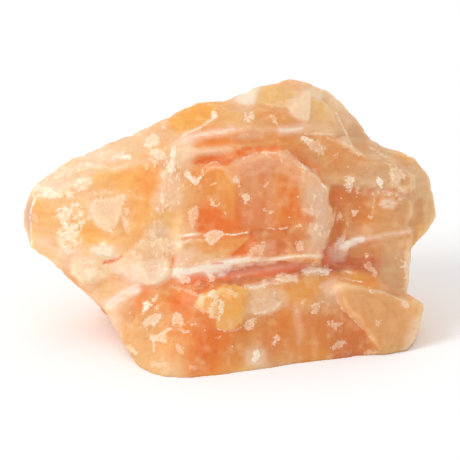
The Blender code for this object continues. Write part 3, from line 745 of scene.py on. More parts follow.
# %% Thin veins
CREST_STREAK = [(182, 137), (190, 132), (200, 128), (208, 122), (216, 117)]
BROW = [(240, 158), (248, 157), (256, 153), (264, 152), (275, 153), (284, 151), (287, 150), (290, 154)]
VEINS = [
    (0.24, 0.8, [(33, 193), (35, 199), (32, 207), (30, 215), (31, 225), (31, 235), (32, 245)]),
    (0.2, 0.9, [(180, 236), (200, 234), (206, 234)]),
    (0.2, 0.8, [(224, 234), (232, 235), (240, 234), (249, 232)]),
    (0.18, 0.7, [(268, 228), (275, 229), (283, 229), (288, 227)]),
    (0.2, 0.9, [(203, 175), (202, 171), (203, 168), (205, 167)]),
    (0.12, 0.6, [(205, 166), (212, 162), (217, 162), (221, 165), (224, 167)]),
    (0.12, 0.4, BROW),
    (0.2, 0.55, CREST_STREAK),
    (0.25, 0.8, [(253, 286), (262, 286), (268, 283), (275, 283)]),
    (0.16, 0.5, [(246, 262), (262, 261), (275, 260), (290, 257), (305, 255)]),
    (0.16, 0.8, [(341, 278), (355, 281)]),
    (0.16, 0.8, [(357, 281), (362, 282)]),
    (0.16, 0.7, [(344, 271), (352, 273)]),
    (0.22, 0.6, [(375, 290), (385, 292), (395, 297), (405, 302), (410, 305)]),
    (0.2, 0.6, [(336, 113), (340, 122), (344, 129), (347, 135), (349, 141), (352, 147)]),
    (0.3, 0.3, [(305, 134), (320, 134), (337, 135)]),
    (0.18, 0.55, [(369, 147), (376, 151), (384, 156), (391, 158)]),
    (0.16, 0.5, BLOCK_RIB),
    (0.25, 0.6, [(384, 191), (395, 194), (404, 198)]),
    (0.15, 0.6, PLATE_EDGE),
    (0.2, 0.6, [(218, 329), (225, 331), (231, 331), (238, 329), (244, 325)]),
    (0.25, 0.6, [(254, 314), (264, 312), (274, 309), (281, 302)]),
    (0.2, 0.6, [(336, 207), (334, 216), (332, 226), (328, 235)]),
    (0.16, 0.7, [(219, 203), (218, 206), (215, 206), (213, 204), (213, 201), (216, 200), (218, 201),
        (219, 203)]),
    (0.18, 0.7, [(224, 211), (226, 214)]),
    (0.2, 0.5, [(243, 158), (246, 166)]),
    (0.2, 0.5, [(263, 152), (270, 158)]),
    (0.2, 0.5, [(279, 152), (282, 162)]),
    (0.2, 0.6, [(208, 186), (218, 182)]),
    (0.2, 0.5, [(396, 258), (404, 262), (409, 270), (412, 280)]),
]
veins = Marks()
veins.add_lines(VEINS)
print("veins:", veins.covered())

# %% [markdown]
# Cracks are traced in the same way, and a red glow is painted along them, for light that gets out of a
# crack after a long way through the stone.

# %% Cracks
CRACKS = [
    (0.35, 0.9, [(104, 263), (112, 261), (118, 259), (122, 256)]),
    (0.2, 0.2, [(339, 113), (343, 122), (347, 129), (350, 135), (352, 141), (355, 147)]),
    (0.2, 0.3, [(305, 137), (320, 137), (337, 138)]),
    (0.4, 0.5, [(292, 153), (300, 160), (308, 166), (311, 169)]),
    (0.4, 0.4, [(316, 166), (319, 174), (322, 180), (325, 184)]),
    (0.35, 0.5, [(205, 164), (212, 160), (217, 160), (222, 163), (228, 162), (236, 157)]),
    (0.25, 0.5, [(173, 256), (173, 262), (171, 268)]),
    (0.25, 0.7, [(212, 263.5), (223, 263)]),
    (0.25, 0.4, [(376, 268), (382, 278), (390, 289), (400, 296)]),
    (0.2, 0.25, [(33, 212), (45, 213), (58, 216)]),
    (0.3, 0.3, [(335, 190), (350, 191), (372, 191), (395, 192)]),
    (0.3, 0.6, [(182, 239), (200, 237), (204, 238)]),
]
cracks = Marks()
cracks.add_lines(CRACKS)
print("cracks:", cracks.covered())

# %% [markdown]
# Wide milky bands and thin hazes have no edge that could be traced: they only fade. Each is a
# weight at every point. A band has a half width, the width over which it fades and a strength,
# and a haze has its fade and its strength.

# %% Bands and hazes
BANDS = [
    (1.0, 2.2, 0.85, [(184, 140), (190, 137), (200, 135), (212, 133), (222, 132), (232, 129)]),
    (0.8, 1.6, 0.3, [(235, 128), (262, 130), (280, 129), (296, 128), (325, 125)]),
    (1.0, 2.4, 0.9, [(281, 130), (290, 130), (302, 128)]),
    (0.8, 1.6, 0.35, [(242, 135), (260, 135)]),
    (1.0, 2.0, 0.35, [(346, 234), (372, 228)]),
    (1.1, 1.6, 1.0, [(343, 247), (352, 242), (362, 239)]),
    (0.5, 1.6, 0.9, [(362, 239), (375, 237), (392, 234), (410, 231)]),
    (1.5, 1.5, 0.85, [(109, 305), (117, 299), (126, 293), (136, 288)]),
    (1.2, 1.6, 1.0, [(176, 272), (190, 271), (204, 268)]),
    (1.1, 1.8, 1.0, [(200, 268), (215, 265), (230, 262), (248, 260)]),
    (1.4, 2.0, 0.5, [(186, 272), (205, 271), (228, 268)]),
    (0.7, 1.6, 0.9, [(240, 265), (256, 264), (274, 262)]),
    (0.5, 1.1, 0.9, [(244, 260), (262, 260), (275, 259), (290, 257), (305, 255.5), (322, 256)]),
    (0.8, 2.0, 0.55, [(195, 152), (212, 151), (230, 149)]),
    (0.9, 1.2, 0.5, [(35, 187), (48, 186), (60, 189)]),
    (0.5, 0.7, 0.6, CREST_STREAK),
    (0.5, 0.7, 0.25, [(410, 192), (413, 200), (411, 212), (406, 225), (404, 240), (400, 250),
        (396, 258)]),
    (0.5, 0.6, 0.5, [(136, 281), (145, 284), (152, 286), (160, 283), (168, 277), (171, 270)]),
    (0.7, 0.9, 0.35, [(60, 170), (74, 168), (86, 164)]),
    (1.0, 1.2, 0.65, [(88, 167), (98, 163), (108, 160), (122, 156)]),
    (0.6, 0.9, 0.45, [(82, 176), (96, 170), (112, 168), (126, 166)]),
    (0.6, 0.8, 0.5, [(46, 190), (60, 188), (74, 182), (88, 178)]),
]
HAZES = [
    (1.2, 0.45, [(226, 270), (262, 266), (300, 261), (300, 267), (262, 273), (232, 278)]),
    (1.6, 0.4, [(36, 238), (50, 238), (50, 248), (38, 248)]),
    (1.5, 0.5, [(160, 121), (166, 119), (169, 124), (164, 126)]),
    (1.5, 0.2, [(84, 190), (128, 188), (134, 225), (112, 238), (88, 218)]),
    (1.6, 0.45, [(160, 173), (170, 171), (178, 176), (181, 190), (183, 195), (181, 199), (176, 200),
        (175, 208), (171, 205), (167, 204), (162, 208), (158, 213), (155, 210), (152, 206), (150, 200),
        (154, 196), (156, 190), (159, 183), (163, 179)]),
    (0.9, 0.95, [(202, 266), (216, 264), (234, 262), (232, 270), (224, 277), (208, 277), (202, 272)]),
    (1.6, 0.65, [(328, 247), (346, 245), (350, 251), (344, 261), (329, 262)]),
    (1.2, 0.5, [(396, 186), (406, 188), (408, 198), (396, 196)]),
    (1.2, 0.4, [(374, 187), (392, 188), (392, 197), (376, 196)]),
    (1.0, 0.5, [(300, 265), (314, 264), (330, 270), (328, 275), (316, 276), (302, 274)]),
    (1.4, 0.3, [(260, 240), (275, 240), (276, 255), (260, 256)]),
    (1.4, 0.35, [(294, 300), (298, 302), (304, 336), (298, 344), (294, 322)]),
    (0.9, 0.4, [(306, 188), (317, 186), (322, 206), (311, 208), (306, 198)]),
    (0.5, 0.6, [(301, 209), (306, 208), (324, 209), (324, 217), (312, 216), (306, 213)]),
    (0.6, 0.5, [(309, 223), (330, 222), (329, 238), (314, 238), (307, 232)]),
    (1.2, 0.4, [(149, 226), (161, 226), (162, 238), (150, 239)]),
    (1.0, 0.5, box(185, 238, 192, 243)),
    (1.0, 0.4, box(198, 240, 203, 242)),
    (1.5, 0.5, [(175, 250), (195, 248), (193, 264), (175, 266)]),
    (1.2, 0.2, box(262, 277, 275, 282)),
    (1.2, 0.8, [(378, 204), (384, 198), (391, 199), (398, 202), (394, 209), (384, 209)]),
    (1.2, 0.55, [(320, 284), (337, 276), (338, 292), (332, 297), (324, 293)]),
    (2.0, 0.18, [(318, 288), (322, 284), (330, 281), (342, 281), (347, 284), (342, 290), (338, 297),
        (330, 298), (325, 293), (318, 291)]),
    (1.0, 0.5, box(356, 286, 362, 290)),
    (2.0, 0.5, box(245, 348, 265, 366)),
    (1.2, 0.1, [(252, 292), (282, 290), (280, 303), (274, 311), (252, 312)]),
    (0.8, 0.4, [(244, 285), (262, 281), (280, 276), (298, 272), (298, 280), (280, 284), (262, 288),
        (246, 289)]),
    (1.2, 0.5, [(405, 250), (413, 250), (413, 290), (406, 290)]),
    (1.6, 0.55, [(414, 316), (424, 316), (420, 352), (402, 352), (408, 332)]),
    (2.4, 0.14, [(240, 172), (262, 172), (262, 225), (242, 225)]),
    (1.6, 0.22, [(266, 170), (273, 168), (274, 222), (266, 222)]),
    (0.8, 0.3, [(300, 240), (329, 240), (326, 248), (318, 256), (298, 252)]),
    (2.0, 0.2, [(95, 150), (150, 134), (165, 160), (100, 172)]),
]
milk = np.zeros(len(points))
for half_width, fade, strength, trace in BANDS:
    milk = np.maximum(milk, strength * ramp(line_depth(trace, half_width), -fade / 2, fade / 2))
for fade, strength, trace in HAZES:
    milk = np.maximum(milk, strength * ramp(patch_depth(trace), -fade / 2, fade / 2))
print("milky:", share_of(milk > 0.1))

# %% [markdown]
# A veil has one crisp rim, stays even for some millimetres behind it and then fades into the
# stone. The shield has one along its brow and one along its right rim. Each has a strength, how
# far it stays even, how far it reaches, its rim and the rest of its outline.

# %% Veils behind the shield's rim
RIM_SOFTNESS = 0.12
VEILS = [
    (1.0, 2.2, 6.0, [(205, 167), (212, 162), (217, 162), (221, 165), (224, 167), (230, 164), (234, 160)]
        + BROW + [(297, 160), (303, 164), (310, 170)], [(318, 180), (300, 190), (270, 190), (240, 190),
        (228, 180), (222, 168), (206, 169)]),
    (1.0, 2.0, 5.0, [(310, 169), (316, 168), (318, 173), (320, 179), (322, 183), (327, 185), (329, 190),
        (328, 196), (329, 205), (335, 207), (334, 216), (332, 226), (329, 236), (326, 246), (322, 253)],
        [(300, 253), (292, 228), (296, 200), (300, 172)]),
]
for strength, even, reach, rim, rest in VEILS:
    fading = ramp(line_depth(rim, reach), 0, reach - even)
    inside = ramp(patch_depth(rim + rest), -RIM_SOFTNESS, RIM_SOFTNESS)
    milk = np.maximum(milk, strength * fading * inside)
print("milky with the veils:", share_of(milk > 0.1))

# %% [markdown]
# Lightly grazed places are covered with white lace instead of full bruises. On the slope at the
# left the lace runs in streaks along the bedding, and on the steep zone beside the shield it runs
# up and down.

# %% Lace
LACE_FADE = 0.8
LACE_ALONG = [
    (0.25, [(315, 290), (322, 283), (332, 280), (345, 281), (350, 285), (344, 292), (338, 299),
        (328, 298)]),
    (0.4, [(398, 252), (413, 252), (413, 292), (402, 297)]),
    (0.45, [(383, 190), (398, 192), (406, 198), (402, 206), (388, 210), (377, 205)]),
    (0.75, [(32, 190), (38, 185), (46, 185), (56, 189), (64, 191), (67, 197), (58, 200), (46, 198),
        (36, 197)]),
    (0.7, [(52, 178), (60, 170), (70, 165), (82, 163), (92, 163), (88, 170), (76, 175), (64, 180),
        (56, 182)]),
    (0.7, [(70, 186), (78, 180), (86, 175), (93, 177), (92, 185), (88, 190), (80, 192), (73, 190)]),
    (0.7, [(92, 160), (100, 152), (112, 149), (122, 151), (132, 152), (132, 160), (122, 161),
        (108, 160), (98, 163)]),
    (0.5, [(57, 207), (66, 203), (78, 203), (84, 212), (84, 222), (80, 232), (85, 243), (85, 252),
        (74, 256), (64, 253), (57, 242), (55, 232), (60, 224), (55, 215)]),
    (0.4, [(72, 262), (90, 258), (106, 264), (100, 280), (84, 282), (72, 273)]),
    (0.45, [(107, 265), (120, 257), (133, 250), (152, 262), (170, 262), (168, 276), (152, 286),
        (125, 277)]),
    (0.4, [(244, 286), (262, 278), (280, 272), (298, 271), (298, 280), (280, 285), (262, 288)]),
    (0.3, [(252, 296), (280, 296), (276, 309), (262, 314), (250, 314)]),
    (0.35, [(300, 262), (330, 260), (332, 268), (318, 272), (302, 272)]),
    (0.35, [(104, 302), (120, 294), (138, 286), (142, 290), (126, 300), (110, 312)]),
    (0.3, [(175, 262), (205, 256), (240, 253), (240, 262), (205, 268), (176, 272)]),
]
LACE_UPRIGHT = [
    (0.35, [(306, 190), (326, 186), (332, 208), (328, 236), (312, 240), (304, 224)]),
    (0.36, [(148, 152), (160, 146), (172, 148), (178, 160), (184, 178), (184, 198), (176, 210),
        (164, 216), (156, 226), (148, 240), (140, 248), (144, 232), (150, 215), (156, 200), (160, 182),
        (154, 168)]),
    (0.4, [(150, 236), (165, 233), (190, 236), (186, 243), (176, 252), (172, 262), (160, 262),
        (150, 252)]),
    (0.15, [(143, 312), (165, 312), (186, 326), (170, 346), (148, 340)]),
    (0.3, [(303, 138), (322, 140), (326, 152), (318, 156), (306, 148)]),
]


def lace_weight(patches):
    weight = np.zeros(len(points))
    for strength, trace in patches:
        weight = np.maximum(weight, strength * ramp(patch_depth(trace), -LACE_FADE, LACE_FADE))
    return weight


lace_along = lace_weight(LACE_ALONG)
lace_upright = lace_weight(LACE_UPRIGHT)
print("lace:", share_of(lace_along + lace_upright > 0.1))

# %% [markdown]
# The crystal is banded inside. On the shield and the foot the bands stand upright, and on the
# rest of the stone they lie along the bedding.

# %% Where the bands stand upright
UPRIGHT_FADE = 1.5
UPRIGHT = [
    [(190, 175), (225, 165), (265, 155), (300, 165), (320, 185), (325, 240), (260, 255), (200, 240)],
    [(150, 300), (200, 320), (250, 320), (300, 300), (400, 300), (410, 350), (260, 375), (150, 375)],
]
upright = sum(ramp(patch_depth(trace), -UPRIGHT_FADE, UPRIGHT_FADE) for trace in UPRIGHT)
print("bands stand upright on", share_of(upright > 0.5))

# %% [markdown]
# The body colour changes slowly through the stone: deep orange in the thick middle and brownish towards
# the right. The tones also hold painted light: pale yellow where the stone is thin, for light that
# passes through, and a painted red shade in the hollows. Each tone has a list of places, a pixel and a
# radius in millimetres, and spreads through the stone from there, so it wraps round onto the sides.

# %% Tones and where they are
TONES = {
    "amber": (0.84, 0.41, 0.08),
    "honey": (0.84, 0.49, 0.17),
    "butter": (0.86, 0.65, 0.38),
    "cream": (0.84, 0.64, 0.45),
    "milk": (0.89, 0.69, 0.52),
    "chalk": (0.75, 0.72, 0.62),
    "peach": (0.82, 0.54, 0.32),
    "mustard": (0.76, 0.48, 0.19),
    "biscuit": (0.76, 0.41, 0.17),
    "straw": (0.76, 0.48, 0.26),
    "sand": (0.74, 0.49, 0.25),
    "orange": (0.81, 0.35, 0.09),
    "rust": (0.74, 0.29, 0.07),
    "ember": (0.83, 0.28, 0.05),
    "deep": (0.79, 0.20, 0.03),
    "brick": (0.67, 0.22, 0.06),
    # Red is painted shade, laid into hollows and undercuts.
    "red": (0.58, 0.14, 0.05),
    "toffee": (0.70, 0.34, 0.13),
    "tan": (0.64, 0.38, 0.19),
    "veil": (0.68, 0.43, 0.25),
    "mauve": (0.60, 0.39, 0.31),
}
PLACES = {
    "amber": [(195, 112, 4), (212, 106, 3), (183, 118, 4), (230, 295, 3), (140, 178, 4), (300, 295, 4),
        (135, 205, 6), (135, 190, 4), (228, 184, 2), (110, 285, 3), (90, 240, 3)],
    "honey": [(75, 168, 2.5), (180, 186, 2.5), (180, 222, 2.5), (228, 303, 4), (148, 254, 2),
        (95, 178, 5), (110, 183, 5), (130, 148, 5), (150, 225, 4), (100, 262, 2), (215, 250, 4),
        (125, 235, 4), (70, 200, 3), (85, 228, 3), (105, 168, 4), (48, 215, 4)],
    "butter": [(88, 268, 4), (98, 288, 4), (40, 240, 4), (80, 236, 2)],
    "cream": [(210, 257, 1.8), (148, 257, 2.5), (316, 94, 2), (100, 250, 4), (245, 98, 3),
        (300, 106, 3), (290, 92, 3), (125, 270, 4), (130, 262, 4), (60, 180, 4), (75, 185, 4),
        (60, 262, 3), (112, 312, 4), (150, 130, 4), (415, 334, 3), (330, 97, 3), (165, 245, 3),
        (184, 152, 2.5), (190, 240, 2.5), (84, 160, 3), (124, 144, 4), (104, 154, 3)],
    "milk": [(155, 234, 2.5), (155, 250, 3), (150, 275, 4), (178, 270, 2), (120, 290, 3), (105, 300, 4),
        (92, 280, 4)],
    "chalk": [(248, 92, 3), (246, 100, 2)],
    "peach": [(50, 200, 3), (120, 165, 4), (160, 195, 4), (178, 190, 3), (70, 220, 3), (170, 125, 4),
        (80, 172, 3), (50, 250, 4), (335, 120, 4), (188, 161, 2), (184, 229, 3), (208, 256, 3),
        (140, 168, 2.5), (345, 278, 3)],
    "mustard": [(262, 96, 3), (275, 93, 3), (318, 110, 4), (322, 102, 3)],
    "biscuit": [(130, 320, 4), (375, 298, 4), (405, 320, 4), (397, 162, 2), (125, 300, 3),
        (190, 200, 3), (310, 285, 4), (240, 115, 5), (140, 358, 5), (155, 366, 4), (125, 335, 4),
        (135, 348, 4)],
    "straw": [(235, 105, 4), (265, 305, 5), (255, 355, 3), (320, 122, 4), (300, 95, 4), (345, 138, 3),
        (105, 212, 5), (165, 172, 3), (300, 336, 2.5), (333, 183, 2), (422, 180, 4), (412, 312, 3)],
    "sand": [(430, 210, 4), (430, 190, 3), (318, 96, 2.5)],
    "orange": [(215, 320, 4), (225, 245, 3), (380, 215, 5), (210, 195, 4), (180, 345, 5), (165, 355, 4),
        (75, 217, 2), (240, 185, 4), (360, 277, 3)],
    "rust": [(158, 300, 4), (280, 140, 4), (300, 350, 4), (225, 205, 3), (290, 185, 4), (278, 195, 4),
        (235, 350, 4), (245, 340, 4), (244, 354, 3), (360, 225, 4), (325, 320, 4), (320, 335, 4),
        (262, 330, 3), (175, 320, 3), (156, 290, 2.5), (148, 297, 2.5), (236, 153, 2), (170, 255, 2),
        (240, 300, 4), (200, 180, 4), (320, 350, 4)],
    "deep": [(196, 360, 3), (180, 299, 3), (196, 320, 3), (150, 182, 4), (208, 217, 3.5), (222, 157, 3),
        (220, 222, 5), (290, 215, 4), (240, 245, 3), (203, 285, 4), (215, 345, 5), (230, 340, 4),
        (140, 308, 2), (195, 290, 3), (300, 320, 4), (205, 330, 4), (285, 325, 5), (285, 335, 4),
        (245, 215, 3), (215, 362, 4)],
    "ember": [(215, 140, 4), (202, 160, 2.5)],
    "brick": [(290, 232, 3), (290, 245, 3), (250, 200, 4), (258, 180, 4), (255, 220, 4), (270, 245, 4),
        (280, 352, 4), (345, 340, 4), (360, 335, 3), (345, 220, 3), (350, 205, 4), (222, 280, 4),
        (340, 325, 3), (130, 310, 3), (296, 157, 2), (365, 250, 3)],
    # Painted shade: the red places lie in hollows and undercuts.
    "red": [(335, 199, 3), (345, 263, 4), (330, 265, 3), (235, 283, 3), (335, 232, 3), (290, 272, 3),
        (370, 262, 3), (240, 276, 3), (270, 274, 3), (345, 350, 4)],
    "toffee": [(275, 118, 5), (250, 143, 4), (310, 128, 4), (350, 165, 4), (385, 325, 5), (375, 310, 4),
        (355, 310, 3), (420, 210, 3), (310, 315, 3), (45, 225, 4), (200, 303, 3), (150, 325, 4),
        (330, 165, 4), (300, 240, 3), (410, 240, 4), (360, 147, 3)],
    "tan": [(360, 183, 4), (395, 178, 3), (390, 225, 4), (395, 270, 4), (380, 150, 4), (405, 215, 3)],
    "veil": [(315, 200, 3), (215, 152, 2.5), (320, 225, 3), (370, 175, 3), (400, 340, 4), (390, 255, 4),
        (355, 130, 4), (325, 300, 4), (400, 285, 4)],
    "mauve": [(27, 215, 2.5)],
}
print("tones:", len(TONES), "- places:", sum(len(places) for places in PLACES.values()))

# %% [markdown]
# Some colours do have an edge, where one broken face ends and the next begins. They are traced like the
# bruises, each with its tone, how strongly it covers and how soft its edge is. A few of them are painted
# shade in pockets and undercuts, marked where they stand. Later faces lie over earlier ones, and noise
# makes every border ragged.

# %% Faces with a colour of their own, and patches of painted shade
RAGGED_BORDER = [(0.45, 3.5, 13.0), (0.4, 1.4, 17.0)]
FACES = [
    ("amber", 0.8, 1.0, [(170, 118), (182, 110), (193, 104), (217, 103), (217, 108), (213, 113),
        (209, 118), (204, 123), (196, 127), (186, 130), (176, 132), (168, 128)]),
    ("ember", 0.9, 1.2, [(192, 146), (205, 141), (220, 140), (238, 141), (236, 146), (215, 149),
        (200, 149)]),
    # These two deep faces are painted shade in the pocket above the shield's brow.
    ("deep", 1.0, 0.8, [(193, 162), (205, 157), (222, 155), (234, 150), (246, 150), (240, 158),
        (232, 161), (226, 166), (220, 163), (212, 161), (204, 165), (197, 166)]),
    ("deep", 0.9, 1.0, [(234, 150), (245, 147), (262, 146), (284, 147), (284, 153), (262, 152),
        (255, 154), (240, 158)]),
    ("honey", 0.6, 1.0, [(210, 119), (222, 111), (238, 112), (244, 120), (226, 124), (205, 128)]),
    ("ember", 0.4, 1.2, [(236, 139), (262, 138), (262, 145), (236, 146)]),
    ("orange", 0.5, 1.6, [(256, 110), (270, 106), (284, 112), (290, 122), (276, 122), (258, 119)]),
    ("chalk", 0.7, 0.8, [(236, 99), (244, 92), (253, 88), (259, 88), (257, 97), (255, 104),
        (245, 104)]),
    ("mustard", 0.8, 0.8, [(257, 101), (261, 92), (268, 86), (280, 86), (292, 90), (298, 96),
        (288, 100), (275, 102), (262, 103)]),
    ("cream", 0.6, 0.4, [(288, 109), (298, 98), (304, 92), (310, 92), (311, 105), (310, 118),
        (305, 122), (294, 118)]),
    ("mustard", 0.7, 0.8, [(312, 101), (324, 103), (327, 121), (312, 122)]),
    ("straw", 0.7, 0.6, [(305, 122), (332, 122), (336, 132), (305, 132)]),
    ("rust", 0.4, 0.8, [(305, 136), (338, 137), (345, 160), (335, 168), (326, 158), (325, 147),
        (320, 141)]),
    ("toffee", 0.6, 0.8, [(352, 140), (368, 142), (368, 152), (356, 148)]),
    ("veil", 0.6, 0.5, [(346, 178), (360, 176), (372, 178), (400, 183), (400, 188), (372, 187),
        (348, 186)]),
    ("brick", 0.45, 1.0, [(332, 190), (372, 192), (372, 215), (350, 235), (338, 235)]),
    ("orange", 0.45, 1.0, [(328, 188), (346, 188), (350, 225), (345, 242), (332, 250), (328, 240)]),
    # Painted shade in the hole of the gully beside the shield.
    ("brick", 0.7, 0.5, [(329, 195), (334, 192), (339, 195), (341, 200), (338, 205), (333, 206),
        (330, 203), (328, 199)]),
    ("tan", 0.6, 1.2, [(380, 250), (405, 250), (405, 290), (384, 285)]),
    ("toffee", 0.6, 1.0, [(350, 245), (380, 243), (380, 258), (350, 258)]),
    # Painted shade in the undercut below the right block.
    ("red", 0.7, 1.0, [(320, 258), (375, 257), (372, 270), (330, 268)]),
    ("toffee", 0.75, 0.8, [(410, 205), (425, 195), (424, 225), (410, 226)]),
    ("sand", 0.7, 1.2, [(422, 190), (438, 195), (438, 230), (425, 230)]),
    ("deep", 0.9, 0.9, [(199, 209), (217, 208), (222, 215), (232, 222), (240, 230), (228, 232),
        (215, 231), (205, 234), (198, 232), (197, 222)]),
    ("orange", 0.5, 1.6, [(222, 178), (233, 174), (236, 226), (226, 218)]),
    ("rust", 0.75, 1.6, [(276, 168), (297, 168), (301, 188), (299, 210), (297, 224), (275, 224)]),
    ("brick", 0.8, 0.6, [(282, 228), (296, 229), (300, 240), (295, 250), (284, 250)]),
    ("peach", 0.7, 0.5, [(107, 265), (120, 257), (133, 249), (143, 240), (152, 235), (165, 233),
        (184, 236), (191, 237), (186, 242), (179, 248), (174, 254), (171, 260), (160, 264), (145, 264),
        (130, 268)]),
    ("milk", 0.8, 0.6, [(107, 265), (128, 266), (145, 260), (160, 259), (171, 258), (172, 268),
        (168, 277), (160, 283), (152, 286), (140, 283), (125, 277), (112, 272)]),
    ("cream", 0.8, 0.8, [(71, 265), (77, 256), (89, 258), (106, 265), (108, 273), (98, 282), (82, 283),
        (71, 273)]),
    ("chalk", 0.6, 1.4, [(89, 248), (97, 244), (106, 242), (113, 248), (117, 255), (108, 258),
        (97, 256)]),
    # Painted shade under the flap's lower lip.
    ("rust", 0.7, 0.8, [(138, 289), (150, 289), (160, 287), (167, 281), (174, 277), (182, 284),
        (184, 293), (170, 296), (155, 296), (142, 297)]),
    ("deep", 0.7, 1.0, [(172, 291), (196, 290), (198, 298), (192, 303), (174, 303)]),
    ("orange", 0.6, 0.8, [(168, 259), (175, 258), (176, 272), (169, 270)]),
    ("deep", 0.55, 2.0, [(278, 178), (298, 178), (299, 215), (278, 222)]),
    ("honey", 0.4, 1.2, [(100, 280), (135, 286), (130, 294), (112, 300), (98, 296)]),
    ("biscuit", 0.8, 1.2, [(183, 246), (192, 239), (205, 242), (225, 242), (247, 238), (238, 248),
        (226, 253), (205, 253), (190, 254), (182, 252)]),
    ("orange", 0.8, 0.9, [(194, 241), (225, 240), (247, 238), (240, 246), (224, 251), (200, 251)]),
    ("deep", 0.9, 0.7, [(250, 240), (254, 240), (254, 246), (249, 250), (244, 254), (236, 257),
        (230, 258), (235, 252), (242, 245)]),
    # This brick face and the two red ones below it are painted shade in the undercut below the shield.
    ("brick", 0.8, 0.9, [(215, 278), (230, 273), (250, 270), (275, 266), (300, 262), (318, 262),
        (300, 271), (285, 274), (270, 278), (262, 282), (250, 284), (240, 286), (230, 284)]),
    ("red", 0.9, 0.8, [(226, 280), (238, 277), (246, 281), (240, 286), (230, 286)]),
    ("red", 0.6, 0.8, [(196, 276), (206, 275), (206, 288), (198, 294)]),
    ("deep", 0.6, 0.8, box(138, 298, 140, 318)),
    ("honey", 0.85, 0.5, [(197, 303), (199, 297), (208, 291), (221, 286), (235, 285), (246, 288),
        (250, 292), (249, 302), (246, 313), (242, 322), (235, 328), (226, 330), (217, 327), (214, 315),
        (204, 313)]),
    ("amber", 0.65, 1.2, [(222, 287), (238, 287), (246, 296), (243, 312), (236, 321), (222, 318),
        (217, 302)]),
    ("peach", 0.75, 1.6, [(250, 291), (262, 288), (282, 288), (289, 296), (287, 306), (276, 310),
        (262, 314), (247, 314)]),
    ("rust", 0.7, 0.8, [(266, 318), (276, 312), (286, 308), (295, 311), (299, 324), (304, 338),
        (296, 344), (292, 360), (276, 362), (274, 338), (262, 326)]),
    ("deep", 0.6, 1.0, [(195, 330), (215, 330), (218, 370), (200, 372)]),
    ("rust", 0.6, 1.6, [(230, 335), (250, 335), (246, 365), (230, 366)]),
    ("amber", 0.5, 1.6, [(300, 283), (318, 277), (335, 273), (362, 273), (374, 277), (380, 286),
        (368, 289), (350, 287), (330, 290), (310, 293)]),
    ("deep", 0.5, 0.8, [(211, 263), (222, 263), (222, 265), (211, 266)]),
    ("orange", 0.5, 1.4, [(296, 282), (312, 279), (326, 278), (322, 290), (310, 300), (298, 298)]),
    ("orange", 0.6, 0.6, [(70, 213), (78, 213), (78, 222), (71, 222)]),
    ("mauve", 0.7, 0.6, [(20, 198), (33, 198), (30, 215), (31, 245), (26, 252), (16, 225)]),
    ("veil", 0.4, 2.0, [(192, 149), (220, 148), (221, 152), (194, 155)]),
    ("brick", 0.4, 0.4, [(302, 316), (312, 310), (330, 308), (340, 304), (360, 310), (380, 330),
        (384, 350), (340, 354), (310, 344)]),
    ("biscuit", 0.7, 0.3, [(334, 297), (342, 309), (352, 318), (362, 327), (372, 342), (384, 350),
        (404, 347), (409, 310), (392, 300), (372, 291), (350, 287)]),
    ("cream", 0.5, 0.8, [(404, 252), (414, 252), (414, 292), (406, 294)]),
    ("amber", 0.75, 1.2, [(112, 176), (122, 172), (140, 165), (158, 169), (158, 182), (151, 195),
        (147, 208), (131, 212), (128, 198), (120, 192)]),
    ("ember", 0.5, 2.4, [(140, 174), (159, 168), (157, 184), (148, 196), (138, 194)]),
    ("amber", 0.7, 1.0, [(78, 226), (90, 221), (104, 232), (118, 237), (110, 245), (96, 245),
        (84, 242)]),
    ("orange", 0.45, 1.4, [(112, 238), (124, 232), (138, 226), (148, 232), (136, 244), (124, 254),
        (116, 250)]),
    ("orange", 0.5, 1.6, [(126, 198), (148, 198), (146, 216), (136, 224), (128, 216)]),
    ("chalk", 0.35, 1.6, [(290, 83), (306, 83), (324, 94), (320, 101), (304, 91)]),
    ("honey", 0.6, 1.4, [(34, 200), (56, 201), (60, 206), (55, 216), (58, 228), (48, 228), (34, 226)]),
]
ragged_border = waves(points, RAGGED_BORDER)


def covers(tone, cover, softness, trace):
    inside = ramp(patch_depth(trace) + ragged_border, -softness / 2, softness / 2)
    return np.array(TONES[tone]), cover * inside


faces = [covers(*face) for face in FACES]
print("faces with a colour of their own:", len(faces))

# %% [markdown]
# The sides and the back get the same tones and the same kinds of mark, drawn with a fixed seed.
# A bruise there is a spot stretched along a random direction and pushed out of shape by noise.

# %% Tones and bruises of the hidden sides
BACK_PLACES = 120
BACK_REACH = (3.5, 7)
BACK_TONES = ["orange", "honey", "deep", "amber", "honey", "rust", "straw", "peach", "toffee"]
BACK_BRUISES = 110
LARGEST_BRUISE = 2.6
LONGEST_BRUISE = 2.8
BRUISE_STRENGTH = (0.4, 0.8)

hidden = np.flatnonzero(sight_limit < 0)
back_places = [(points[pick], chance.uniform(*BACK_REACH), BACK_TONES[chance.integers(len(BACK_TONES))])
               for pick in chance.choice(hidden, BACK_PLACES, replace=False)]


def add_back_bruise(pick):
    radius = chance.uniform(0.4, 1) ** 2 * LARGEST_BRUISE
    longer = chance.uniform(1, LONGEST_BRUISE)
    along = chance.normal(size=3)
    along /= np.linalg.norm(along)
    away = (points - points[pick]) / MM
    gap = np.sqrt((away ** 2).sum(axis=1) - (1 - 1 / longer ** 2) * (away @ along) ** 2)
    close = hidden[gap[hidden] < radius + FAR]
    ragged = waves(points[close], [(0.8 * radius, 1.8, pick % 17), (0.4, 0.8, pick % 13)])
    depth = np.full(len(points), -FAR)
    depth[close] = np.minimum(radius + ragged - gap[close], -sight_limit[close])
    frost.add(depth, chance.uniform(*BRUISE_STRENGTH))


for pick in chance.choice(hidden, BACK_BRUISES, replace=False):
    add_back_bruise(pick)
print("frost all round:", frost.covered())

# %% [markdown]
# A few milky veins follow the bedding round the back, as they do on the front. Each has its own
# level, half width and strength. Slow noise bends the levels, and another wave breaks the veins
# into pieces.

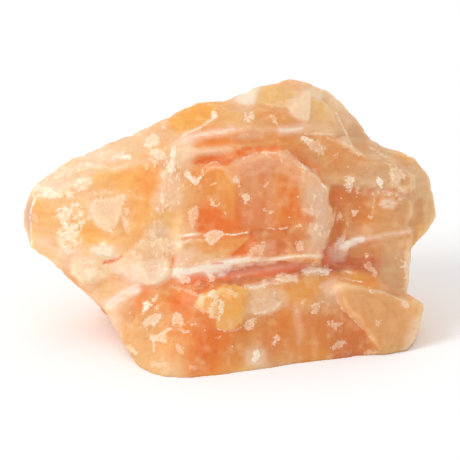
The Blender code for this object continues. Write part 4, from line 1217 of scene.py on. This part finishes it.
# %% Veins round the hidden sides
BEDDING_BEND = [(2.5, 22, 2.0), (0.5, 5, 6.0)]
VEIN_BREAKS = 15
BEDDING_VEINS = [
    (11.5, 0.5, 0.7),
    (21.0, 1.2, 0.35),
    (28.5, 0.4, 0.8),
    (33.0, 1.6, 0.3),
    (44.0, 0.6, 0.6),
]
height = points @ unit(CLEAVAGE[1]) / MM + waves(points, BEDDING_BEND)
for level, half_width, strength in BEDDING_VEINS:
    across = half_width - np.abs(height - level)
    unbroken = ramp(wave(points, VEIN_BREAKS, level), -0.2, 0.25)
    behind = ramp(-sight_limit, 0, 0.6)
    milk = np.maximum(milk, strength * unbroken * ramp(across, -0.5, 0.6) * behind)
print("milky all round:", share_of(milk > 0.1))

# %% [markdown]
# Now the colours are mixed point by point: nearby places weighed by closeness, then the faces
# with a colour of their own on top. The points are pushed by noise first, so that no border is a
# circle.

# %% Mix the body colour
BORDER_BEND = (1.6, 5, (1.0, 5.0, 8.0))
LEAST_WEIGHT = 1e-4


def front_places():
    return [(on_stone(x, y), radius, tone) for tone, places in PLACES.items() for x, y, radius in places]


def mix_tones(places):
    bent = pushed(points, *BORDER_BEND)
    total = np.full(len(points), LEAST_WEIGHT)
    colour = np.outer(total, TONES["orange"])
    for place, radius, tone in places:
        gap = np.linalg.norm(bent - np.array(place) / MM, axis=1) / radius
        weight = np.exp(-gap * gap)
        total += weight
        colour += np.outer(weight, TONES[tone])
    colour /= total[:, None]
    for shade, cover in faces:
        colour += cover[:, None] * (shade - colour)
    return colour


body_colour = mix_tones(front_places() + back_places)
print("body colour:", body_colour.min(axis=0).round(2), "to", body_colour.max(axis=0).round(2))

# %% [markdown]
# Two things can be measured on the skin itself. An edge stands out from the average of its surroundings
# and wears pale; a hollow lies below it and gets a painted red glow, for light that reaches it through
# the stone. The traced hollows count less, because their tones already hold painted shade.

# %% Measure edges and hollows
EDGE_ROUNDS = 6
HOLLOW_ROUNDS = 60
# Where the traced tones already hold painted shade, the painted hollow glow is weaker.
TRACED_HOLLOWS = [
    (0.85, [(150, 110), (260, 95), (345, 95), (362, 150), (330, 150), (300, 140), (285, 149),
        (255, 150), (235, 156), (225, 163), (190, 164), (165, 200), (140, 200)]),
    (0.8, [(143, 214), (170, 214), (196, 222), (196, 242), (148, 242)]),
    (0.3, [(324, 190), (346, 190), (346, 240), (335, 256), (322, 256)]),
    (0.15, [(215, 270), (262, 264), (330, 258), (330, 270), (300, 275), (262, 284), (230, 286)]),
]
height_on_table = points[:, 2] / MM


def standing_out(rounds):
    """How far each point stands out from the average of its surroundings, in millimetres."""
    return np.einsum("ij,ij->i", points - near.mean(points, rounds), normals) / MM


edge = near.mean(standing_out(EDGE_ROUNDS))
edge *= ramp(height_on_table, 1, 4)
hollow = near.mean(np.clip(-standing_out(HOLLOW_ROUNDS), 0, None), 2)
for share, trace in TRACED_HOLLOWS:
    hollow *= 1 - share * ramp(patch_depth(trace), -1, 1)
print("edges up to", round(edge.max(), 2), "mm, hollows up to", round(hollow.max(), 2), "mm")

# %% [markdown]
# A ray shot inwards tells how thin the stone is: thin places let light through, so a pale yellow glow is
# painted on them, but not at the foot, where the table stops the light. The rim on the table counts as
# thin all the same, because red light is lost into the table there as it is through a thin edge.

# %% Measure thin places
THIN = 9.0
UNDER_SKIN = 0.3 * MM
RIM_THINNESS = 0.6


def thickness_inwards():
    """How much stone is behind each point, up to THIN millimetres."""
    depth = np.full(len(points), THIN)
    for k in range(len(points)):
        inwards = -Vector(normals[k])
        start = Vector(points[k]) + UNDER_SKIN * inwards
        hit, _, _, distance = tree.ray_cast(start, inwards, THIN * MM)
        if hit is not None:
            depth[k] = distance / MM
    return depth


thin = 1 - near.mean(thickness_inwards(), 3) / THIN
pale = thin * ramp(height_on_table, 2, 9)
thin = np.maximum(thin, RIM_THINNESS * (1 - ramp(height_on_table, 0, 4)))
print("thin places:", share_of(thin > 0.4))

# %% [markdown]
# The bruises stand a hair proud of the stone, cracks are a little sunk and veins a little raised,
# because the cloudy calcite is tougher. Nothing on the table is moved.

# %% Raise the marks
FROST_RISE = 0.13
VEIN_RISE = 0.08
CRACK_SINK = 0.12
rise = ledges + FROST_RISE * ramp(frost.depth, -0.25, 0.35) + VEIN_RISE * ramp(veins.depth, -0.3, 0.2)
rise -= CRACK_SINK * cracks.strength * ramp(cracks.depth, -0.4, 0.2)
rise[on_table] = 0
raised = points + (rise * MM)[:, None] * normals
raised[:, 2] = raised[:, 2].clip(0)
put_points(skin, raised)
print("raised by", round(rise.min(), 2), "to", round(rise.max(), 2), "mm")

# %% [markdown]
# The skin is final now. What was worked out for each point is stored on the mesh, where the
# material can read it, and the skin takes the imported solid's place.

# %% Make the stone
def store(mesh, name, values):
    layer = mesh.attributes.new(name, "FLOAT", "POINT")
    layer.data.foreach_set("value", values.astype(np.float32))


def store_colour(mesh, name, colours):
    layer = mesh.attributes.new(name, "FLOAT_COLOR", "POINT")
    rgba = np.column_stack([colours, np.ones(len(colours))])
    layer.data.foreach_set("color", rgba.astype(np.float32).ravel())


for name, marks in {"frost": frost, "vein": veins, "crack": cracks}.items():
    store(skin, name, marks.depth)
    store(skin, name + "_strength", near.mean(marks.strength))
weights = {"milk": milk, "edge": edge, "hollow": hollow, "thin": thin, "pale": pale, "upright": upright,
           "lace_along": lace_along, "lace_upright": lace_upright}
for name, values in weights.items():
    store(skin, name, values)
store_colour(skin, "body_colour", body_colour)

stone = bpy.data.objects.new("calcite_chunk", skin)
bpy.context.scene.collection.objects.link(stone)
skin.shade_smooth()
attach(stone, "root")
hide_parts("orange_calcite")
print("stone:", triangles_of(skin), "triangles")

# %% [markdown]
# The finish is one material, built up in layers: body colour, then the painted glows of hollows and thin
# places, then milk, veins, cracks and frost. These small helpers keep the node tree readable.

# %% Helpers for the material
calcite = bpy.data.materials.new("orange calcite")
calcite.use_nodes = True
nodes, links = calcite.node_tree.nodes, calcite.node_tree.links
shader = nodes["Principled BSDF"]


def attribute(name, output="Fac"):
    node = nodes.new("ShaderNodeAttribute")
    node.attribute_name = name
    return node.outputs[output]


def plug(socket, value):
    if isinstance(value, (int, float, tuple)):
        socket.default_value = value
    else:
        links.new(value, socket)


def math_node(operation, *values):
    node = nodes.new("ShaderNodeMath")
    node.operation = operation
    for socket, value in zip(node.inputs, values):
        plug(socket, value)
    return node.outputs[0]


def times(first, second):
    return math_node("MULTIPLY", first, second)


def times_plus(value, factor, added):
    return math_node("MULTIPLY_ADD", value, factor, added)


def between(value, low, high):
    """0 where value is under low, 1 where it is over high, smooth between."""
    node = nodes.new("ShaderNodeMapRange")
    node.interpolation_type = "SMOOTHSTEP"
    links.new(value, node.inputs["Value"])
    node.inputs["From Min"].default_value = low
    node.inputs["From Max"].default_value = high
    return node.outputs["Result"]


def mix(amount, first, second, blend="MIX"):
    node = nodes.new("ShaderNodeMix")
    node.data_type = "RGBA"
    node.blend_type = blend
    plug(node.inputs["Factor"], amount)
    plug(node.inputs["A"], first)
    plug(node.inputs["B"], second)
    return node.outputs["Result"]


print("material started:", calcite.name)

# %% [markdown]
# Grain and crystals come from noise that is fixed to the stone, so it needs no picture and no
# seams. The grain can be stretched across a direction, which turns lumps into sheets and bands.

# %% Grain, crystals and specks
place = nodes.new("ShaderNodeTexCoord")


def grain(size, detail=3, shift=0, stretch=(1, 1, 1), across=(1, 0, 0)):
    """Noise from 0 to 1 with lumps of about that size in millimetres, stretched from its axes."""
    node = nodes.new("ShaderNodeTexNoise")
    turned = nodes.new("ShaderNodeMapping")
    turned.vector_type = "TEXTURE"
    links.new(place.outputs["Object"], turned.inputs["Vector"])
    turned.inputs["Location"].default_value = (shift * MM, 2 * shift * MM, -shift * MM)
    turned.inputs["Rotation"].default_value = Vector(across).to_track_quat("X", "Z").to_euler()
    turned.inputs["Scale"].default_value = stretch
    links.new(turned.outputs["Vector"], node.inputs["Vector"])
    node.inputs["Scale"].default_value = 1 / (size * MM)
    node.inputs["Detail"].default_value = detail
    return node.outputs["Fac"]


def cells(size):
    """A net of cells of about that size in millimetres: distance to the middle, two random shades."""
    node = nodes.new("ShaderNodeTexVoronoi")
    links.new(place.outputs["Object"], node.inputs["Vector"])
    node.inputs["Scale"].default_value = 1 / (size * MM)
    split = nodes.new("ShaderNodeSeparateColor")
    links.new(node.outputs["Color"], split.inputs["Color"])
    return node.outputs["Distance"], split.outputs["Red"], split.outputs["Green"]


def crystals(size):
    """A random shade from 0 to 1 for each small crystal of about that size in millimetres."""
    return cells(size)[1]


def specks(spacing, radius, share):
    """Small dots, in that share of the cells of a net with that spacing in millimetres."""
    distance, _, shade = cells(spacing)
    dot = math_node("LESS_THAN", distance, radius / spacing)
    return times(dot, math_node("LESS_THAN", shade, share))


def around_zero(value, strength):
    """The grain moved to lie around zero, times the strength."""
    return times_plus(value, strength, -strength / 2)


print("grain and crystals ready")

# %% [markdown]
# The depths are roughened by three sizes of grain before they are cut off, so a bruise ends in
# crumbs. Crumbs also lie loose around a bruise, more of them closer to it. Inside, frost is never
# even: its rim is the most crushed, and it is made of crystals, some white and some still pink.

# %% Where the frost is, and how white
lobes = around_zero(grain(1.8, 2, 4), 1.6)
crumbs = around_zero(grain(0.7, 3), 1.9)
fine_crumbs = around_zero(grain(0.32, 2, 7), 0.8)
ragged = math_node("ADD", crumbs, fine_crumbs)

frost_depth = math_node("ADD", attribute("frost"), math_node("ADD", lobes, ragged))
loose = between(times_plus(attribute("frost"), 0.13, grain(0.42, 1, 23)), 0.6, 0.66)
frosted = math_node("MAXIMUM", between(frost_depth, -0.06, 0.16), loose)
inner = times_plus(between(frost_depth, 0.35, 1.1), -0.3, 1.0)
patchy = times_plus(between(grain(0.8, 4, 3), 0.35, 0.6), 0.4, 0.6)
frost_amount = times(times(frosted, attribute("frost_strength")), times(inner, patchy))

whiteness = times_plus(crystals(0.5), 0.5, around_zero(grain(0.5, 3, 19), 1.2))
whiteness = times_plus(attribute("frost_strength"), 1.1, whiteness)
whiteness = between(whiteness, 0.6, 1.4)
print("frost ready")

# %% [markdown]
# A vein is now wide, now thin, and here and there broken, and so is a crack. Milk is streaky along
# the bedding, and lace is made of threads that get denser where its weight is high. The inner
# bands lie along the bedding or stand upright, and the worn edges are broken up as well.

# %% Veins, cracks, milk, lace, bands and edges
BEDDING = (0.10, 0.10, 0.99)
SLOPE = (-0.36, 0.10, 0.93)
SIDEWAYS = (0.97, -0.22, 0.10)


def lace(name, direction, shift):
    """Streaky threads across that direction, denser where the weight of that name is high."""
    threads = grain(0.75, 5, shift, (1, 2.4, 2.4), direction)
    dense = times_plus(attribute(name), 0.42, threads)
    return times(between(dense, 0.66, 0.84), between(attribute(name), 0.02, 0.2))


along = times_plus(between(grain(2.6, 2, 31), 0.38, 0.58), 0.65, 0.35)
vein_depth = times_plus(ragged, 0.5, attribute("vein"))
vein_amount = times(between(vein_depth, -0.1, 0.12), times(attribute("vein_strength"), along))
crack_depth = times_plus(ragged, 0.4, attribute("crack"))
crack_amount = times(between(crack_depth, -0.2, 0.2), attribute("crack_strength"))

streaks = grain(1.1, 4, 11, (1, 4, 2), BEDDING)
milk_amount = times(attribute("milk"), between(streaks, 0.1, 0.55))
any_lace = math_node("MAXIMUM", lace("lace_along", SLOPE, 41), lace("lace_upright", SIDEWAYS, 43))
lace_amount = times(any_lace, 0.7)

level_bands = grain(1.5, 2, 61, (1, 4, 4), BEDDING)
upright_bands = grain(2.6, 2, 51, (1, 4, 4), SIDEWAYS)
banding = mix(attribute("upright"), level_bands, upright_bands)
edge_broken = times_plus(grain(1.1, 3, 5), 0.14, attribute("edge"))
edge_amount = between(edge_broken, 0.12, 0.24)
speck_amount = times(specks(2.4, 0.2, 0.2), 0.7)
print("masks ready")

# %% [markdown]
# Body colour: the hollows get a painted red glow, darker and redder, the thin places a painted pale
# yellow glow, and slow clouds and fine grain keep any face from being one flat colour. Over it come
# milk, cracks with their painted red glow, worn edges, veins, lace, frost and specks, in that order,
# each by its amount.

# %% Body, milk, veins, cracks and frost
WHITE_FROST = (0.96, 0.85, 0.70, 1)
PINK_FROST = (0.92, 0.67, 0.46, 1)
PINK_MILK = (0.87, 0.62, 0.46, 1)
WHITE_MILK = (0.93, 0.85, 0.75, 1)
# The next three colours are painted glows: light through thin places, out of cracks and into the
# hollows.
PAINTED_THIN_GLOW = (0.88, 0.60, 0.38, 1)
PAINTED_CRACK_GLOW = (0.78, 0.20, 0.05, 1)
PAINTED_HOLLOW_GLOW = (1.0, 0.25, 0.09, 1)
CLOUD_TINT = (0.96, 0.88, 0.78, 1)
PALE_CLOUD = (0.88, 0.62, 0.36, 1)
DEEP_BAND = (0.96, 0.84, 0.66, 1)

body = attribute("body_colour", "Color")
body = mix(times(between(grain(3.0, 4, 1), 0.5, 0.75), 0.35), body, PALE_CLOUD)
body = mix(between(grain(1.3, 5, 9), 0.45, 0.75), body, CLOUD_TINT, "MULTIPLY")
body = mix(times(between(banding, 0.4, 0.7), 0.4), body, DEEP_BAND, "MULTIPLY")
body = mix(times(between(banding, 0.5, 0.3), 0.12), body, PALE_CLOUD)
# Painted red glow in the hollows, for light that reaches them through the stone.
body = mix(times(between(attribute("hollow"), 0.12, 0.9), 0.7), body, PAINTED_HOLLOW_GLOW)
# Painted pale yellow glow where the stone is thin, for light that passes through.
body = mix(times(between(attribute("pale"), 0.35, 0.9), 0.35), body, PAINTED_THIN_GLOW)
body = mix(milk_amount, body, mix(between(attribute("milk"), 0.6, 1.1), PINK_MILK, WHITE_MILK))
# Painted red glow along the cracks.
body = mix(times(crack_amount, 0.8), body, PAINTED_CRACK_GLOW)
body = mix(times(edge_amount, 0.3), body, PINK_FROST)
body = mix(times(vein_amount, 0.9), body, WHITE_FROST)
body = mix(lace_amount, body, mix(whiteness, PINK_FROST, WHITE_FROST))
body = mix(frost_amount, body, mix(whiteness, PINK_FROST, WHITE_FROST))
body = mix(speck_amount, body, WHITE_FROST)
links.new(body, shader.inputs["Base Color"])
print("colour ready")

# %% [markdown]
# Light goes in and comes out some millimetres away, red farthest. That is the waxy glow. Frost
# is crushed and lets in less light, and it is dull where the clean faces are satin. Where the
# stone is thin the red light would be lost through the far side, which leaves a green tinge that
# no calcite has, so the glow fades there.

# %% Glow and gloss
shader.subsurface_method = "RANDOM_WALK"
shader.inputs["Subsurface Radius"].default_value = (1.0, 0.6, 0.35)
shader.inputs["Subsurface Scale"].default_value = 7.0 * MM
shader.inputs["IOR"].default_value = 1.5
shader.inputs["Specular IOR Level"].default_value = 0.35
solid_share = times(between(attribute("thin"), 0.1, 0.6), -0.75)
glow_share = times_plus(frost_amount, -0.4, math_node("ADD", solid_share, 0.9))
links.new(math_node("MAXIMUM", glow_share, 0.1), shader.inputs["Subsurface Weight"])
satin = times_plus(grain(2.5, 3, 13), 0.3, 0.32)
links.new(times_plus(frost_amount, 0.35, satin), shader.inputs["Roughness"])
print("glow:", shader.subsurface_method)

# %% [markdown]
# Bump adds only what is too fine for the mesh: a soft waviness on the clean faces and a crushed,
# sugary surface on the frost.

# %% Fine roughness
BUMP_HEIGHT = 0.12 * MM
BUMP_STRENGTH = 0.6

rough = times(grain(0.45, 5, 2), times_plus(frost_amount, 1.5, 0.6))
waxy = times_plus(grain(1.6, 3, 17), 1.2, rough)
bump = nodes.new("ShaderNodeBump")
bump.inputs["Distance"].default_value = BUMP_HEIGHT
bump.inputs["Strength"].default_value = BUMP_STRENGTH
links.new(waxy, bump.inputs["Height"])
links.new(bump.outputs["Normal"], shader.inputs["Normal"])
skin.materials.clear()
skin.materials.append(calcite)
print("material:", skin.materials[0].name)

# %% [markdown]
# The floor is plain and white, as on a product table. It is a wide disc, so that its edge is out
# of the picture from every side.

# %% Floor
FLOOR_RADIUS = 6.0


def floor():
    bm = bmesh.new()
    bmesh.ops.create_circle(bm, cap_ends=True, segments=96, radius=FLOOR_RADIUS)
    mesh = bpy.data.meshes.new("floor")
    bm.to_mesh(mesh)
    bm.free()
    made = bpy.data.objects.new("floor", mesh)
    bpy.context.scene.collection.objects.link(made)
    white = bpy.data.materials.new("pale table")
    white.use_nodes = True
    table = white.node_tree.nodes["Principled BSDF"]
    table.inputs["Base Color"].default_value = (0.97, 0.97, 0.97, 1)
    table.inputs["Roughness"].default_value = 0.9
    table.inputs["Specular IOR Level"].default_value = 0.1
    mesh.materials.append(white)


floor()
print("floor:", 2 * FLOOR_RADIUS, "m across")

# %% [markdown]
# The light is a large soft box from the upper left and a weak one from behind, in a bright white
# room, so that the shadows are faint and the back isn't dark.

# %% Light
def soft_box(name, place, size, power):
    light = bpy.data.lights.new(name, "AREA")
    light.shape = "SQUARE"
    light.size = size
    light.energy = power
    box = bpy.data.objects.new(name, light)
    bpy.context.scene.collection.objects.link(box)
    box.location = place
    box.rotation_mode = "QUATERNION"
    box.rotation_quaternion = (MIDDLE_OF_VIEW - box.location).to_track_quat("-Z", "Y")


def room(strength):
    world = bpy.data.worlds.new("white room")
    bpy.context.scene.world = world
    world.use_nodes = True
    world.node_tree.nodes["Background"].inputs["Color"].default_value = (1, 1, 1, 1)
    world.node_tree.nodes["Background"].inputs["Strength"].default_value = strength


soft_box("key light", Vector((-0.60, -0.35, 0.60)), size=0.4, power=3.4)
soft_box("back light", Vector((0.3, 0.6, 0.5)), size=0.5, power=0.8)
room(0.78)
bpy.context.scene.view_settings.view_transform = "Standard"
